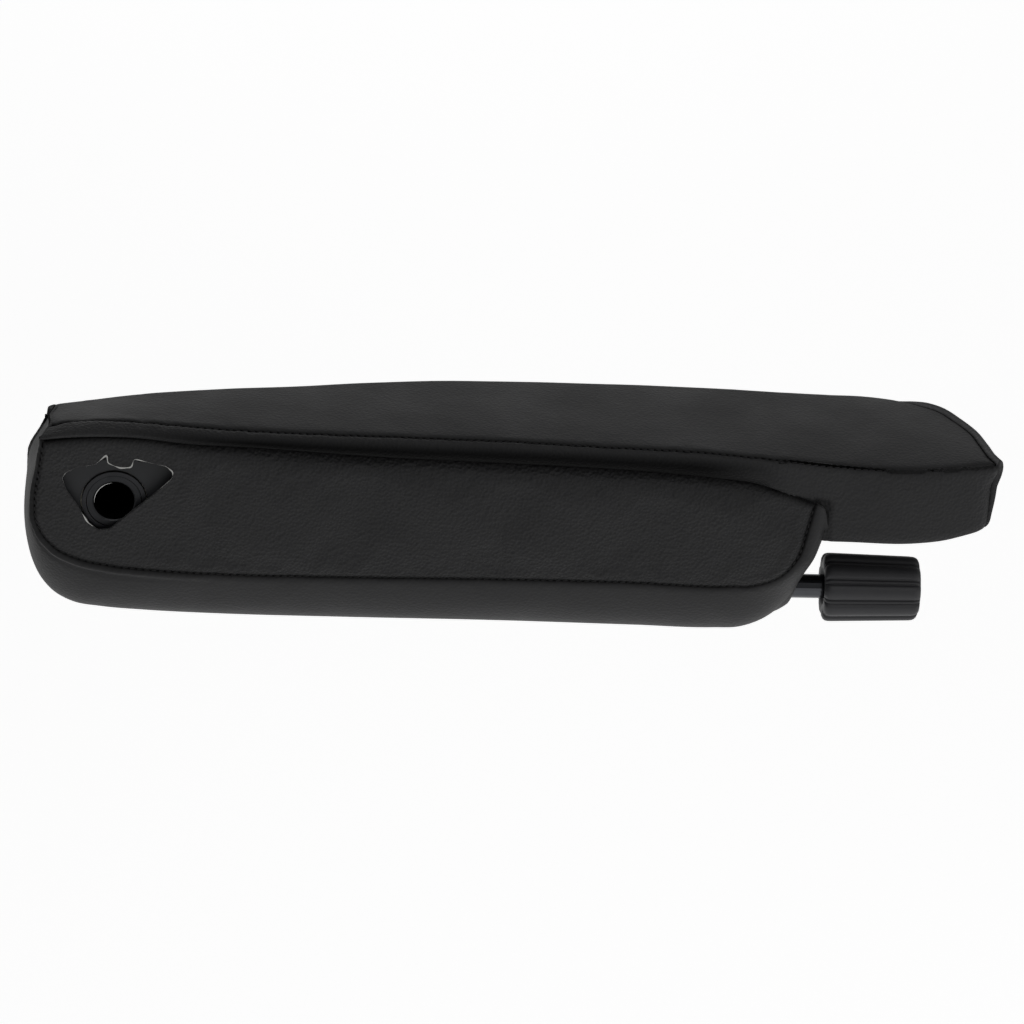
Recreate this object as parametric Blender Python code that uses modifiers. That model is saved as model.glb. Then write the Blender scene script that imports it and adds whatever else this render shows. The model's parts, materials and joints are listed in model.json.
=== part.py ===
"""Fold-up seat armrest: foam under a sewn vinyl cover, on a pressed steel frame that turns on a hub.

A stop lever on the hub holds the armrest level, and a spindle with a knob sets its tilt.
Metres. +X runs to the front of the armrest, -Y to its outer side, +Z up. The origin is on the
pivot axis, at the hub's face against the seat.
"""

import math

import bmesh
import bpy
from mathutils import Matrix, Vector

# Running and assembly gap between neighbouring pieces.
GAP = 0.0003

# Cover and body, across the armrest.
VINYL = 0.0015
SKIN = VINYL + 0.0005
NEAR_Y = -0.052
FAR_Y = -0.003
MID_Y = (NEAR_Y + FAR_Y) / 2
RIM_COLUMNS = 8

# Side seam of the body and the crest of its rolled edge: (x, z, cut before, cut after).
SEAM_CORNERS = [
    (-0.0305, 0.0265, 0, 0),
    (-0.0335, -0.0290, 0.024, 0.048),
    (0.2758, -0.0318, 0.018, 0.018),
    (0.2813, -0.0110, 0, 0),
]
CREST_CORNERS = [
    (-0.0340, 0.0265, 0, 0),
    (-0.0300, -0.0575, 0.040, 0.034),
    (0.2810, -0.0618, 0.028, 0.026),
    (0.2910, -0.0110, 0, 0),
]
CORNER_STEPS = 7

# Upper edge of the side panels, where they meet the pad's bands: (x, z).
NEAR_CREASE = [
    (-0.0305, 0.0265),
    (0.000, 0.0290),
    (0.064, 0.0242),
    (0.164, 0.0198),
    (0.240, 0.0157),
    (0.2855, 0.0065),
]
FAR_CREASE = [
    (-0.0305, 0.0200),
    (0.000, 0.0218),
    (0.064, 0.0200),
    (0.164, 0.0130),
    (0.2855, 0.0050),
]

# Seams round the pad's top panel: (x, y, z).
NEAR_SEAM = [
    (-0.0310, -0.0420, 0.0295),
    (0.0070, -0.0440, 0.0335),
    (0.0640, -0.0470, 0.0320),
    (0.1630, -0.0490, 0.0305),
    (0.2360, -0.0500, 0.0280),
    (0.2920, -0.0500, 0.0232),
    (0.3250, -0.0490, 0.0218),
    (0.3600, -0.0440, 0.0228),
]
FAR_SEAM = [
    (-0.0310, -0.0090, 0.0240),
    (0.0110, -0.0040, 0.0272),
    (0.0760, 0.0020, 0.0305),
    (0.1350, 0.0090, 0.0315),
    (0.2160, 0.0150, 0.0292),
    (0.2770, 0.0180, 0.0258),
    (0.3120, 0.0200, 0.0228),
    (0.3260, 0.0165, 0.0222),
    (0.3370, 0.0070, 0.0222),
    (0.3490, -0.0140, 0.0225),
    (0.3560, -0.0340, 0.0228),
    (0.3600, -0.0430, 0.0228),
]
TOP_CROWN = 0.0012
BAND_BULGE = 0.0025
NOSE_X = 0.2862
NOSE_BACK_X = 0.2918
NOSE_UNDER_Z = -0.0100

# Outline of the cut-out over the pivot: (x, z, cut before, cut after).
CUT_OUT = [
    (-0.0235, 0.0135, 0.005, 0.004),
    (-0.0070, 0.0180, 0.002, 0.002),
    (-0.0038, 0.0220, 0.001, 0.001),
    (-0.0030, 0.0168, 0.001, 0.002),
    (0.0068, 0.0162, 0.002, 0.001),
    (0.0078, 0.0205, 0.001, 0.001),
    (0.0255, 0.0165, 0.005, 0.004),
    (-0.0035, -0.0145, 0.006, 0.006),
]
SHROUD_OUTLINE = [
    (-0.0290, 0.0195, 0.008, 0.008),
    (0.0340, 0.0240, 0.008, 0.008),
    (-0.0020, -0.0300, 0.016, 0.016),
]
CLIP_SLOTS = [(-0.0062, 0.0187), (0.0115, 0.0181)]
CLIP_SLOT = (0.0045, 0.0014)
SHROUD_Y = (-0.0484, -0.0468)

# Hub, fixed to the seat by a bolt through its bore.
BORE_RADIUS = 0.008
SLEEVE_RADIUS = 0.011
SLEEVE_END_Y = -0.0488
FLANGE_RADIUS = 0.019
FLANGE_THICKNESS = 0.0026
FAR_HUB_HOLE_RADIUS = 0.0176
COLLAR_RADIUS = 0.013
COLLAR_Y = (-0.0492, -0.0465)

# Frame: two cheeks and a web, pressed from one sheet.
SHEET = 0.0025
CHEEK_OUTER = 0.0143
CHEEK_INNER = CHEEK_OUTER - SHEET
CHEEK_CORNERS = [
    (-0.020, -0.020),
    (-0.020, 0.010),
    (-0.010, 0.0185),
    (0.010, 0.0185),
    (0.034, 0.0105),
    (0.268, 0.0105),
    (0.268, -0.043),
    (0.228, -0.043),
    (0.216, -0.016),
    (0.054, -0.016),
    (0.044, -0.043),
    (-0.004, -0.043),
]
CHEEK_ROUNDING = 0.004
WEB_X = (0.036, 0.267)
WEB_Z = (0.0078, 0.0103)
BUSH_SPIGOT_RADIUS = 0.014
BUSH_SHOULDER_RADIUS = 0.017
TRAY_Z = (0.0108, 0.0128)
TRAY_X = (0.036, 0.344)
TRAY_NECK_X = 0.290
TRAY_SCREWS_X = (0.052, 0.120, 0.190, 0.256)
TRAY_SCREW_RADIUS = 0.0025

# Stop plate, stop lever and the pin that rests between the plate's lugs.
STOP_PLATE_HALF = 0.003
STOP_DISC_RADIUS = 0.0135
LUG_RADIUS = 0.019
LUG_WIDTH_DEG = 18
FOLD_DEG = 95
PIN_RADIUS = 0.0025
PIN_ORBIT = 0.017
PIN_REST_DEG = 120
PIN_HALF_DEG = math.degrees(math.asin((PIN_RADIUS + GAP) / PIN_ORBIT))
LEVER_Y = (0.0075, 0.0105)
LEVER_RADIUS = 0.021
LEVER_ARM_HALF = 0.0068
LEVER_END_Z = -0.0460
SLOT_HALF = 0.0033
SLOT_TOP_Z = -0.0378
RIVET_Z = -0.028
RIVET_RADIUS = 0.002

# Tilt spindle, with its nut under the pivot and its knob at the front.
SPINDLE_Z = -0.0415
SPINDLE_RADIUS = 0.005
SPINDLE_X = (-0.0150, 0.3220)
NUT_HALF = (0.005, 0.007, 0.0065)
TRUNNION_RADIUS = 0.003
TRUNNION_REACH = 0.0110
REAR_BRACKET_X = (0.034, 0.037)
FRONT_BRACKET_X = (0.262, 0.265)
BRACKET_Z = (-0.0430, -0.0200)
BEARING_RADIUS = 0.0065
BEARING_FLANGE_RADIUS = 0.0075
BEARING_FLANGE = 0.0015
COLLAR_LENGTH = 0.005
STOP_COLLAR_RADIUS = 0.0075
END_CLIP_RADIUS = 0.0062
KNOB_X = (0.294, 0.334)
KNOB_RADIUS = (0.0140, 0.0127)
KNOB_LOBES = 10
KNOB_GROOVE = 0.0011
KNOB_ROUNDING = 0.0025
KNOB_PIN_X = 0.303
KNOB_PIN_RADIUS = 0.0015


def clear_scene():
    for obj in list(bpy.data.objects):
        bpy.data.objects.remove(obj, do_unlink=True)


def new_collection(name):
    collection = bpy.data.collections.new(name)
    bpy.context.scene.collection.children.link(collection)
    return collection


clear_scene()
PARTS = new_collection("fold_up_armrest")
CUTTERS = new_collection("cutters")


def material(name, colour, roughness, metallic=0.0):
    made = bpy.data.materials.new(name)
    made.use_nodes = True
    shader = made.node_tree.nodes["Principled BSDF"]
    shader.inputs["Base Color"].default_value = (*colour, 1.0)
    shader.inputs["Roughness"].default_value = roughness
    shader.inputs["Metallic"].default_value = metallic
    made.diffuse_color = (*colour, 1.0)
    return made


def vinyl(name):
    return material(name, (0.026, 0.026, 0.027), 0.5)


def plastic(name, level=0.02):
    return material(name, (level, level, level), 0.45)


def nylon(name):
    return material(name, (0.55, 0.54, 0.50), 0.4)


def zinc_steel(name):
    return material(name, (0.55, 0.55, 0.53), 0.35, 1.0)


def black_steel(name):
    return material(name, (0.035, 0.035, 0.037), 0.4, 0.6)


def foam(name):
    return material(name, (0.42, 0.38, 0.24), 0.95)


# Outlines and curves.


def arc(centre, radius, start_deg, end_deg, steps):
    """Points on a circle, as (x, z)."""
    turns = [start_deg + (end_deg - start_deg) * i / steps for i in range(steps + 1)]
    return [
        (centre[0] + radius * math.cos(math.radians(a)), centre[1] + radius * math.sin(math.radians(a)))
        for a in turns
    ]


def rounded(corners, steps, is_closed=False):
    """Rounds each corner (x, z, cut before, cut after) with a parabola; a zero cut keeps it sharp."""
    points = []
    count = len(corners)
    for i, (x, z, before, after) in enumerate(corners):
        here = Vector((x, z))
        at_end = i in (0, count - 1) and not is_closed
        if at_end or not before:
            points.append(here)
            continue
        last = Vector(corners[i - 1][:2])
        following = Vector(corners[(i + 1) % count][:2])
        start = here + (last - here).normalized() * before
        end = here + (following - here).normalized() * after
        for step in range(steps + 1):
            t = step / steps
            points.append(start * (1 - t) ** 2 + here * 2 * t * (1 - t) + end * t**2)
    return points


def inset(points, distance):
    """Moves an open outline to its left, which is inward for one that runs anticlockwise."""
    moved = []
    for i, point in enumerate(points):
        along = points[min(i + 1, len(points) - 1)] - points[max(i - 1, 0)]
        along.normalize()
        moved.append(point + Vector((-along.y, along.x)) * distance)
    return moved


def smooth(points, value):
    """A curve through points (x, ...), read at one x: cubic, with level-limited slopes."""
    i = 0
    while i < len(points) - 2 and value > points[i + 1][0]:
        i += 1
    p = [points[max(i - 1, 0)], points[i], points[i + 1], points[min(i + 2, len(points) - 1)]]
    width = p[2][0] - p[1][0]
    t = min(max((value - p[1][0]) / width, 0.0), 1.0)
    out = []
    for k in range(1, len(p[1])):
        start_slope = (p[2][k] - p[0][k]) / (p[2][0] - p[0][0]) * width
        end_slope = (p[3][k] - p[1][k]) / (p[3][0] - p[1][0]) * width
        rise = p[2][k] - p[1][k]
        out.append(
            p[1][k]
            + start_slope * t
            + (3 * rise - 2 * start_slope - end_slope) * t**2
            + (start_slope + end_slope - 2 * rise) * t**3
        )
    return out


def inside_near(x, distance):
    """Y of the near seam at one x, moved into the pad by a distance square to the seam."""
    step = 0.001
    slope = (smooth(NEAR_SEAM, x + step)[0] - smooth(NEAR_SEAM, x - step)[0]) / (2 * step)
    return smooth(NEAR_SEAM, x)[0] + distance * math.hypot(1, slope)


def inside_far(x, distance):
    """The same for the far seam."""
    step = 0.001
    slope = (smooth(FAR_SEAM, x + step)[0] - smooth(FAR_SEAM, x - step)[0]) / (2 * step)
    return smooth(FAR_SEAM, x)[0] - distance * math.hypot(1, slope)


def stations(low, high, count):
    return [low + (high - low) * i / (count - 1) for i in range(count)]


# Makers of solids.


def add_mesh(name, mesh, mat, is_cutter=False):
    obj = bpy.data.objects.new(name, mesh)
    if is_cutter:
        CUTTERS.objects.link(obj)
        obj.hide_render = True
        obj.display_type = "WIRE"
        return obj
    mesh.materials.append(mat)
    PARTS.objects.link(obj)
    return obj


def finish_mesh(bm, name):
    bmesh.ops.recalc_face_normals(bm, faces=bm.faces)
    mesh = bpy.data.meshes.new(name)
    bm.to_mesh(mesh)
    bm.free()
    return mesh


def soften(obj, angle_deg=35):
    obj.data.shade_smooth()
    obj.data.set_sharp_from_angle(angle=math.radians(angle_deg))
    return obj


def box(name, low, high, mat=None, is_cutter=False):
    low = Vector(low)
    high = Vector(high)
    bm = bmesh.new()
    shape = Matrix.LocRotScale((low + high) / 2, None, high - low)
    bmesh.ops.create_cube(bm, size=1.0, matrix=shape)
    return add_mesh(name, finish_mesh(bm, name), mat, is_cutter)


def rod(name, start, end, radius, mat=None, is_cutter=False, sides=24):
    """A plain round bar between two points."""
    start = Vector(start)
    end = Vector(end)
    turn = (end - start).to_track_quat("Z", "Y")
    bm = bmesh.new()
    bmesh.ops.create_cone(
        bm,
        cap_ends=True,
        segments=sides,
        radius1=radius,
        radius2=radius,
        depth=(end - start).length,
        matrix=Matrix.LocRotScale((start + end) / 2, turn, None),
    )
    obj = add_mesh(name, finish_mesh(bm, name), mat, is_cutter)
    return soften(obj)


def turned(name, profile, mat, place, along, steps=32):
    """A turned piece: a profile of (radius, height), its outer side running down.

    The profile closes on itself for a ring, and starts and ends on the axis for a solid piece.
    """
    mesh = bpy.data.meshes.new(name)
    count = len(profile)
    is_solid = profile[0][0] == profile[-1][0] == 0.0
    edges = [(i, (i + 1) % count) for i in range(count - is_solid)]
    mesh.from_pydata([(r, 0.0, h) for r, h in profile], edges, [])
    obj = add_mesh(name, mesh, mat)
    obj.location = place
    if along == "X":
        obj.rotation_euler = (0, math.pi / 2, 0)
    else:
        obj.rotation_euler = (math.pi / 2, 0, 0)
    screw = obj.modifiers.new("turn", "SCREW")
    screw.axis = "Z"
    screw.steps = steps
    screw.render_steps = steps
    screw.use_merge_vertices = True
    screw.merge_threshold = 0.00001
    screw.use_smooth_shade = True
    return obj


def ring_y(name, inner, outer, low_y, high_y, mat, steps=32):
    """A plain ring round the pivot axis."""
    half = (high_y - low_y) / 2
    profile = [(outer, half), (outer, -half), (inner, -half), (inner, half)]
    return turned(name, profile, mat, (0.0, (low_y + high_y) / 2, 0.0), "Y", steps)


def ring_x(name, inner, outer, low_x, high_x, mat, steps=28):
    """A plain ring round the spindle."""
    half = (high_x - low_x) / 2
    profile = [(outer, half), (outer, -half), (inner, -half), (inner, half)]
    return turned(name, profile, mat, ((low_x + high_x) / 2, MID_Y, SPINDLE_Z), "X", steps)


def plate(name, outlines, low_y, high_y, mat=None, is_cutter=False):
    """A flat plate across Y from closed outlines in X and Z; the later ones are its holes."""
    curve = bpy.data.curves.new(name, "CURVE")
    curve.dimensions = "2D"
    curve.fill_mode = "BOTH"
    curve.extrude = (high_y - low_y) / 2
    for outline in outlines:
        spline = curve.splines.new("POLY")
        spline.points.add(len(outline) - 1)
        for point, (x, z) in zip(spline.points, outline):
            point.co = (x, z, 0.0, 1.0)
        spline.use_cyclic_u = True
    flat = bpy.data.objects.new(name + "_outline", curve)
    flat.location = (0, (low_y + high_y) / 2, 0)
    flat.rotation_euler = (math.pi / 2, 0, 0)
    bpy.context.scene.collection.objects.link(flat)
    bpy.context.view_layer.update()
    graph = bpy.context.evaluated_depsgraph_get()
    mesh = bpy.data.meshes.new_from_object(flat.evaluated_get(graph))
    bm = bmesh.new()
    bm.from_mesh(mesh)
    bmesh.ops.remove_doubles(bm, verts=bm.verts, dist=0.00001)
    bm.to_mesh(mesh)
    bm.free()
    mesh.name = name
    mesh.materials.clear()
    obj = add_mesh(name, mesh, mat, is_cutter)
    obj.matrix_world = flat.matrix_world
    bpy.data.objects.remove(flat, do_unlink=True)
    return obj


def circle(x, z, radius, steps=32):
    return arc((x, z), radius, 0, 360, steps)[:-1]


def combine(target, tool, operation):
    modifier = target.modifiers.new(operation.lower() + " " + tool.name, "BOOLEAN")
    modifier.operation = operation
    modifier.solver = "EXACT"
    modifier.object = tool
    return target


def cut(target, *tools):
    for tool in tools:
        combine(target, tool, "DIFFERENCE")
    return target


def loft(name, rings, mat=None, is_cutter=False):
    """A closed solid through rings of equal point count, capped at both ends."""
    bm = bmesh.new()
    rows = [[bm.verts.new(point) for point in ring] for ring in rings]
    for row, following in zip(rows, rows[1:]):
        for i in range(len(row)):
            j = (i + 1) % len(row)
            bm.faces.new((row[i], row[j], following[j], following[i]))
    bm.faces.new(rows[0])
    bm.faces.new(rows[-1])
    obj = add_mesh(name, finish_mesh(bm, name), mat, is_cutter)
    return soften(obj)


def sheet(name, rows, outward, mat, thickness=VINYL):
    """A cover panel: an open grid of points with its outer face towards outward, thickened inward."""
    bm = bmesh.new()
    grid = [[bm.verts.new(point) for point in row] for row in rows]
    for row, following in zip(grid, grid[1:]):
        for i in range(len(row) - 1):
            bm.faces.new((row[i], row[i + 1], following[i + 1], following[i]))
    bm.normal_update()
    middle = bm.faces[:][len(bm.faces) // 2]
    if middle.normal.dot(Vector(outward)) < 0:
        bmesh.ops.reverse_faces(bm, faces=bm.faces[:])
    mesh = bpy.data.meshes.new(name)
    bm.to_mesh(mesh)
    bm.free()
    obj = soften(add_mesh(name, mesh, mat))
    solid = obj.modifiers.new("thickness", "SOLIDIFY")
    solid.thickness = thickness
    solid.offset = -1.0
    return obj


# Hub: fixed to the seat.


def build_hub():
    length = -SLEEVE_END_Y
    chamfer = 0.0008
    sleeve = [
        (SLEEVE_RADIUS, length),
        (SLEEVE_RADIUS, FLANGE_THICKNESS),
        (FLANGE_RADIUS, FLANGE_THICKNESS),
        (FLANGE_RADIUS, 0.0),
        (BORE_RADIUS, 0.0),
        (BORE_RADIUS, length - chamfer),
        (BORE_RADIUS + chamfer, length),
    ]
    turned("hub_sleeve", sleeve, black_steel("hub_sleeve"), (0, 0, 0), "Y")
    collar = black_steel("hub_collar")
    ring_y("hub_collar", SLEEVE_RADIUS + GAP, COLLAR_RADIUS, *COLLAR_Y, collar)
    build_stop_plate()


def build_stop_plate():
    """A disc with one lug under the level stop and one under the folded stop."""
    level_face = PIN_REST_DEG - PIN_HALF_DEG
    folded_face = PIN_REST_DEG + FOLD_DEG + PIN_HALF_DEG
    outline = arc((0, 0), LUG_RADIUS, level_face - LUG_WIDTH_DEG, level_face, 4)
    outline += arc((0, 0), STOP_DISC_RADIUS, level_face, folded_face, 10)
    outline += arc((0, 0), LUG_RADIUS, folded_face, folded_face + LUG_WIDTH_DEG, 4)
    outline += arc(
        (0, 0), STOP_DISC_RADIUS, folded_face + LUG_WIDTH_DEG, level_face - LUG_WIDTH_DEG + 360, 20
    )
    bore = circle(0, 0, SLEEVE_RADIUS + GAP)
    low = MID_Y - STOP_PLATE_HALF
    high = MID_Y + STOP_PLATE_HALF
    plate("hub_stop_plate", [outline, bore], low, high, zinc_steel("hub_stop_plate"))


# Stop lever: carries the nut's trunnions in its forked end.


def lever_outline():
    side = math.degrees(math.asin(LEVER_ARM_HALF / LEVER_RADIUS))
    outline = arc((0, 0), LEVER_RADIUS, side - 90, 270 - side, 26)
    outline += [
        (-LEVER_ARM_HALF, LEVER_END_Z),
        (-SLOT_HALF, LEVER_END_Z),
        (-SLOT_HALF, SLOT_TOP_Z),
        (SLOT_HALF, SLOT_TOP_Z),
        (SLOT_HALF, LEVER_END_Z),
        (LEVER_ARM_HALF, LEVER_END_Z),
    ]
    return outline


def pin_place():
    turn = math.radians(PIN_REST_DEG)
    return PIN_ORBIT * math.cos(turn), PIN_ORBIT * math.sin(turn)


def build_stop_lever():
    pin_x, pin_z = pin_place()
    holes = [
        circle(0, 0, SLEEVE_RADIUS + GAP),
        circle(pin_x, pin_z, PIN_RADIUS + GAP, 16),
        circle(0, RIVET_Z, RIVET_RADIUS + GAP, 16),
    ]
    outlines = [lever_outline()] + holes
    near, far = LEVER_Y
    plate("near_lever_plate", outlines, MID_Y - far, MID_Y - near, zinc_steel("near_lever_plate"))
    plate("far_lever_plate", outlines, MID_Y + near, MID_Y + far, zinc_steel("far_lever_plate"))
    reach = LEVER_Y[1] + 0.0005
    ends = ((pin_x, MID_Y - reach, pin_z), (pin_x, MID_Y + reach, pin_z))
    rod("lever_stop_pin", *ends, PIN_RADIUS, zinc_steel("lever_stop_pin"), sides=16)
    shoulder = LEVER_Y[0] - GAP
    body = 0.004
    rivet = [
        (0.0, reach),
        (RIVET_RADIUS, reach),
        (RIVET_RADIUS, shoulder),
        (body, shoulder),
        (body, -shoulder),
        (RIVET_RADIUS, -shoulder),
        (RIVET_RADIUS, -reach),
        (0.0, -reach),
    ]
    turned("lever_rivet", rivet, zinc_steel("lever_rivet"), (0, MID_Y, RIVET_Z), "Y", 16)
    inner = STOP_PLATE_HALF + GAP
    outer = LEVER_Y[0] - GAP
    for side, name in ((-1, "near_lever_washer"), (1, "far_lever_washer")):
        low, high = sorted((MID_Y + side * inner, MID_Y + side * outer))
        ring_y(name, SLEEVE_RADIUS + GAP, COLLAR_RADIUS, low, high, nylon(name))


# Frame, its bushes and brackets, and the pad's tray.


def build_frame():
    corners = [(x, z, CHEEK_ROUNDING, CHEEK_ROUNDING) for x, z in CHEEK_CORNERS]
    outline = rounded(corners, 3, is_closed=True)
    hole = circle(0, 0, BUSH_SPIGOT_RADIUS + GAP)
    steel = black_steel("frame_channel")
    frame = plate(
        "frame_channel", [outline, hole], MID_Y - CHEEK_OUTER, MID_Y - CHEEK_INNER, steel
    )
    other = plate(
        "far_cheek", [outline, hole], MID_Y + CHEEK_INNER, MID_Y + CHEEK_OUTER, None, True
    )
    half = CHEEK_OUTER - 0.001
    web = box(
        "web",
        (WEB_X[0], MID_Y - half, WEB_Z[0]),
        (WEB_X[1], MID_Y + half, WEB_Z[1]),
        is_cutter=True,
    )
    combine(frame, web, "UNION")
    combine(frame, other, "UNION")
    for i, x in enumerate(TRAY_SCREWS_X):
        cut(frame, tray_screw_hole(f"web_screw_hole_{i}", x))


def tray_screw_hole(name, x):
    start = (x, MID_Y, WEB_Z[0] - 0.001)
    end = (x, MID_Y, TRAY_Z[1] + 0.001)
    return rod(name, start, end, TRAY_SCREW_RADIUS + GAP, None, True, 12)


def build_pivot_bushes():
    """Shouldered bushes that fill the foam's depth outside each cheek."""
    near_shoulder = MID_Y - CHEEK_OUTER - GAP
    inner_end = CHEEK_INNER - 0.0005
    for side, name, outer_y in (
        (-1, "near_pivot_bush", COLLAR_Y[1] + GAP),
        (1, "far_pivot_bush", -FLANGE_THICKNESS - 0.0014 - 2 * GAP),
    ):
        shoulder = near_shoulder if side < 0 else MID_Y + CHEEK_OUTER + GAP
        spigot = MID_Y + side * inner_end
        # Heights run towards -Y from the hub's face.
        h = {"outer": -outer_y, "shoulder": -shoulder, "spigot": -spigot}
        profile = [
            (BUSH_SHOULDER_RADIUS, h["outer"]),
            (BUSH_SHOULDER_RADIUS, h["shoulder"]),
            (BUSH_SPIGOT_RADIUS, h["shoulder"]),
            (BUSH_SPIGOT_RADIUS, h["spigot"]),
            (SLEEVE_RADIUS + GAP, h["spigot"]),
            (SLEEVE_RADIUS + GAP, h["outer"]),
        ]
        if side > 0:
            profile.reverse()
        turned(name, profile, nylon(name), (0, 0, 0), "Y")
    low = -FLANGE_THICKNESS - 0.0014 - GAP
    high = -FLANGE_THICKNESS - GAP
    washer = nylon("hub_thrust_washer")
    ring_y("hub_thrust_washer", SLEEVE_RADIUS + GAP, BUSH_SHOULDER_RADIUS, low, high, washer)


def build_brackets():
    half = CHEEK_INNER - GAP
    for name, span in (("rear", REAR_BRACKET_X), ("front", FRONT_BRACKET_X)):
        part = name + "_spindle_bracket"
        low = (span[0], MID_Y - half, BRACKET_Z[0])
        high = (span[1], MID_Y + half, BRACKET_Z[1])
        bracket = box(part, low, high, black_steel(part))
        start = (span[0] - 0.001, MID_Y, SPINDLE_Z)
        end = (span[1] + 0.001, MID_Y, SPINDLE_Z)
        cut_radius = BEARING_RADIUS + GAP
        # The bracket is notched to its lower edge, so that the bearing drops in from below.
        hole = rod(name + "_bearing_hole", start, end, cut_radius, None, True)
        notch = box(
            name + "_bearing_notch",
            (start[0], MID_Y - cut_radius, BRACKET_Z[0] - 0.001),
            (end[0], MID_Y + cut_radius, SPINDLE_Z),
            is_cutter=True,
        )
        cut(bracket, hole, notch)
        build_bearing(name + "_spindle_bearing", span)


def build_bearing(name, span):
    """A grooved nylon bearing that straddles its bracket."""
    low = span[0] - GAP
    high = span[1] + GAP
    middle = (low + high) / 2
    reach = (high - low) / 2
    profile = [
        (BEARING_FLANGE_RADIUS, reach + BEARING_FLANGE),
        (BEARING_FLANGE_RADIUS, reach),
        (BEARING_RADIUS, reach),
        (BEARING_RADIUS, -reach),
        (BEARING_FLANGE_RADIUS, -reach),
        (BEARING_FLANGE_RADIUS, -reach - BEARING_FLANGE),
        (SPINDLE_RADIUS + GAP, -reach - BEARING_FLANGE),
        (SPINDLE_RADIUS + GAP, reach + BEARING_FLANGE),
    ]
    turned(name, profile, nylon(name), (middle, MID_Y, SPINDLE_Z), "X", 28)


def build_tray():
    """Steel tray under the pad, with a wider paddle at the front."""
    neck = 0.0165
    start, end = TRAY_X
    near = smooth(NEAR_SEAM, end)[0] + 0.007
    tray = box(
        "pad_tray",
        (start, MID_Y - neck, TRAY_Z[0]),
        (end, MID_Y + neck, TRAY_Z[1]),
        zinc_steel("pad_tray"),
    )
    paddle = box(
        "paddle",
        (TRAY_NECK_X, near, TRAY_Z[0] + 0.0001),
        (end - 0.018, 0.004, TRAY_Z[1] - 0.0001),
        is_cutter=True,
    )
    corner = box(
        "paddle_corner",
        (end - 0.012, MID_Y, TRAY_Z[0] - 0.001),
        (end + 0.010, MID_Y + 2 * neck, TRAY_Z[1] + 0.001),
        is_cutter=True,
    )
    combine(tray, paddle, "UNION")
    cut(tray, corner)
    for i, x in enumerate(TRAY_SCREWS_X):
        cut(tray, tray_screw_hole(f"tray_screw_hole_{i}", x))
        build_tray_screw(f"tray_screw_{i + 1}", x)


def build_tray_screw(name, x):
    """A pan-head screw: head in the foam above the tray, point below the web."""
    head_radius = 0.0045
    head_low = TRAY_Z[1] + GAP
    head_high = head_low + 0.0022
    point = WEB_Z[0] - 0.002
    obj = rod(name, (x, MID_Y, point), (x, MID_Y, head_high), TRAY_SCREW_RADIUS, zinc_steel(name), sides=16)
    head = rod(
        name + "_head", (x, MID_Y, head_low), (x, MID_Y, head_high + 0.0001), head_radius, None, True, 16
    )
    combine(obj, head, "UNION")


def build_shroud():
    """Moulded plate round the pivot, seen through the cut-out, with slots for a cap's clips."""
    outline = rounded(SHROUD_OUTLINE, 5, is_closed=True)
    holes = [circle(0, 0, COLLAR_RADIUS + 0.0005)]
    for x, z in CLIP_SLOTS:
        half_x, half_z = CLIP_SLOT[0] / 2, CLIP_SLOT[1] / 2
        holes.append(
            [
                (x - half_x, z - half_z),
                (x + half_x, z - half_z),
                (x + half_x, z + half_z),
                (x - half_x, z + half_z),
            ]
        )
    plate("pivot_shroud", [outline] + holes, *SHROUD_Y, plastic("pivot_shroud", 0.013))


# Spindle, nut and knob.


def build_spindle():
    start = (SPINDLE_X[0], MID_Y, SPINDLE_Z)
    end = (SPINDLE_X[1], MID_Y, SPINDLE_Z)
    spindle = rod("tilt_spindle", start, end, SPINDLE_RADIUS, zinc_steel("tilt_spindle"), sides=28)
    pin_low = (KNOB_PIN_X, MID_Y - 0.008, SPINDLE_Z)
    pin_high = (KNOB_PIN_X, MID_Y + 0.008, SPINDLE_Z)
    cut(spindle, rod("spindle_pin_hole", pin_low, pin_high, KNOB_PIN_RADIUS + GAP, None, True, 12))
    flange = GAP + BEARING_FLANGE
    low = FRONT_BRACKET_X[0] - flange
    high = FRONT_BRACKET_X[1] + flange
    inner = SPINDLE_RADIUS + GAP
    for name, edge, side in (("rear", low, -1), ("front", high, 1)):
        washer = sorted((edge + side * GAP, edge + side * 0.0013))
        collar_start = edge + side * (0.0013 + GAP)
        collar = sorted((collar_start, collar_start + side * COLLAR_LENGTH))
        washer_name = name + "_thrust_washer"
        ring_x(washer_name, inner, STOP_COLLAR_RADIUS, *washer, nylon(washer_name))
        collar_name = name + "_thrust_collar"
        ring_x(collar_name, inner, STOP_COLLAR_RADIUS, *collar, zinc_steel(collar_name))
    clip = (SPINDLE_X[0] + 0.0006, SPINDLE_X[0] + 0.0016)
    ring_x("spindle_end_clip", inner, END_CLIP_RADIUS, *clip, black_steel("spindle_end_clip"))


def build_nut():
    middle = Vector((0, MID_Y, SPINDLE_Z))
    half = Vector(NUT_HALF)
    nut = box(
        "travelling_nut",
        middle - half,
        middle + half,
        material("travelling_nut", (0.75, 0.55, 0.25), 0.35, 1.0),
    )
    ends = ((0, MID_Y - TRUNNION_REACH, SPINDLE_Z), (0, MID_Y + TRUNNION_REACH, SPINDLE_Z))
    combine(nut, rod("trunnions", *ends, TRUNNION_RADIUS, None, True, 20), "UNION")
    hole_ends = ((-2 * half.x, MID_Y, SPINDLE_Z), (2 * half.x, MID_Y, SPINDLE_Z))
    cut(nut, rod("nut_thread", *hole_ends, SPINDLE_RADIUS + GAP, None, True, 28))


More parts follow.
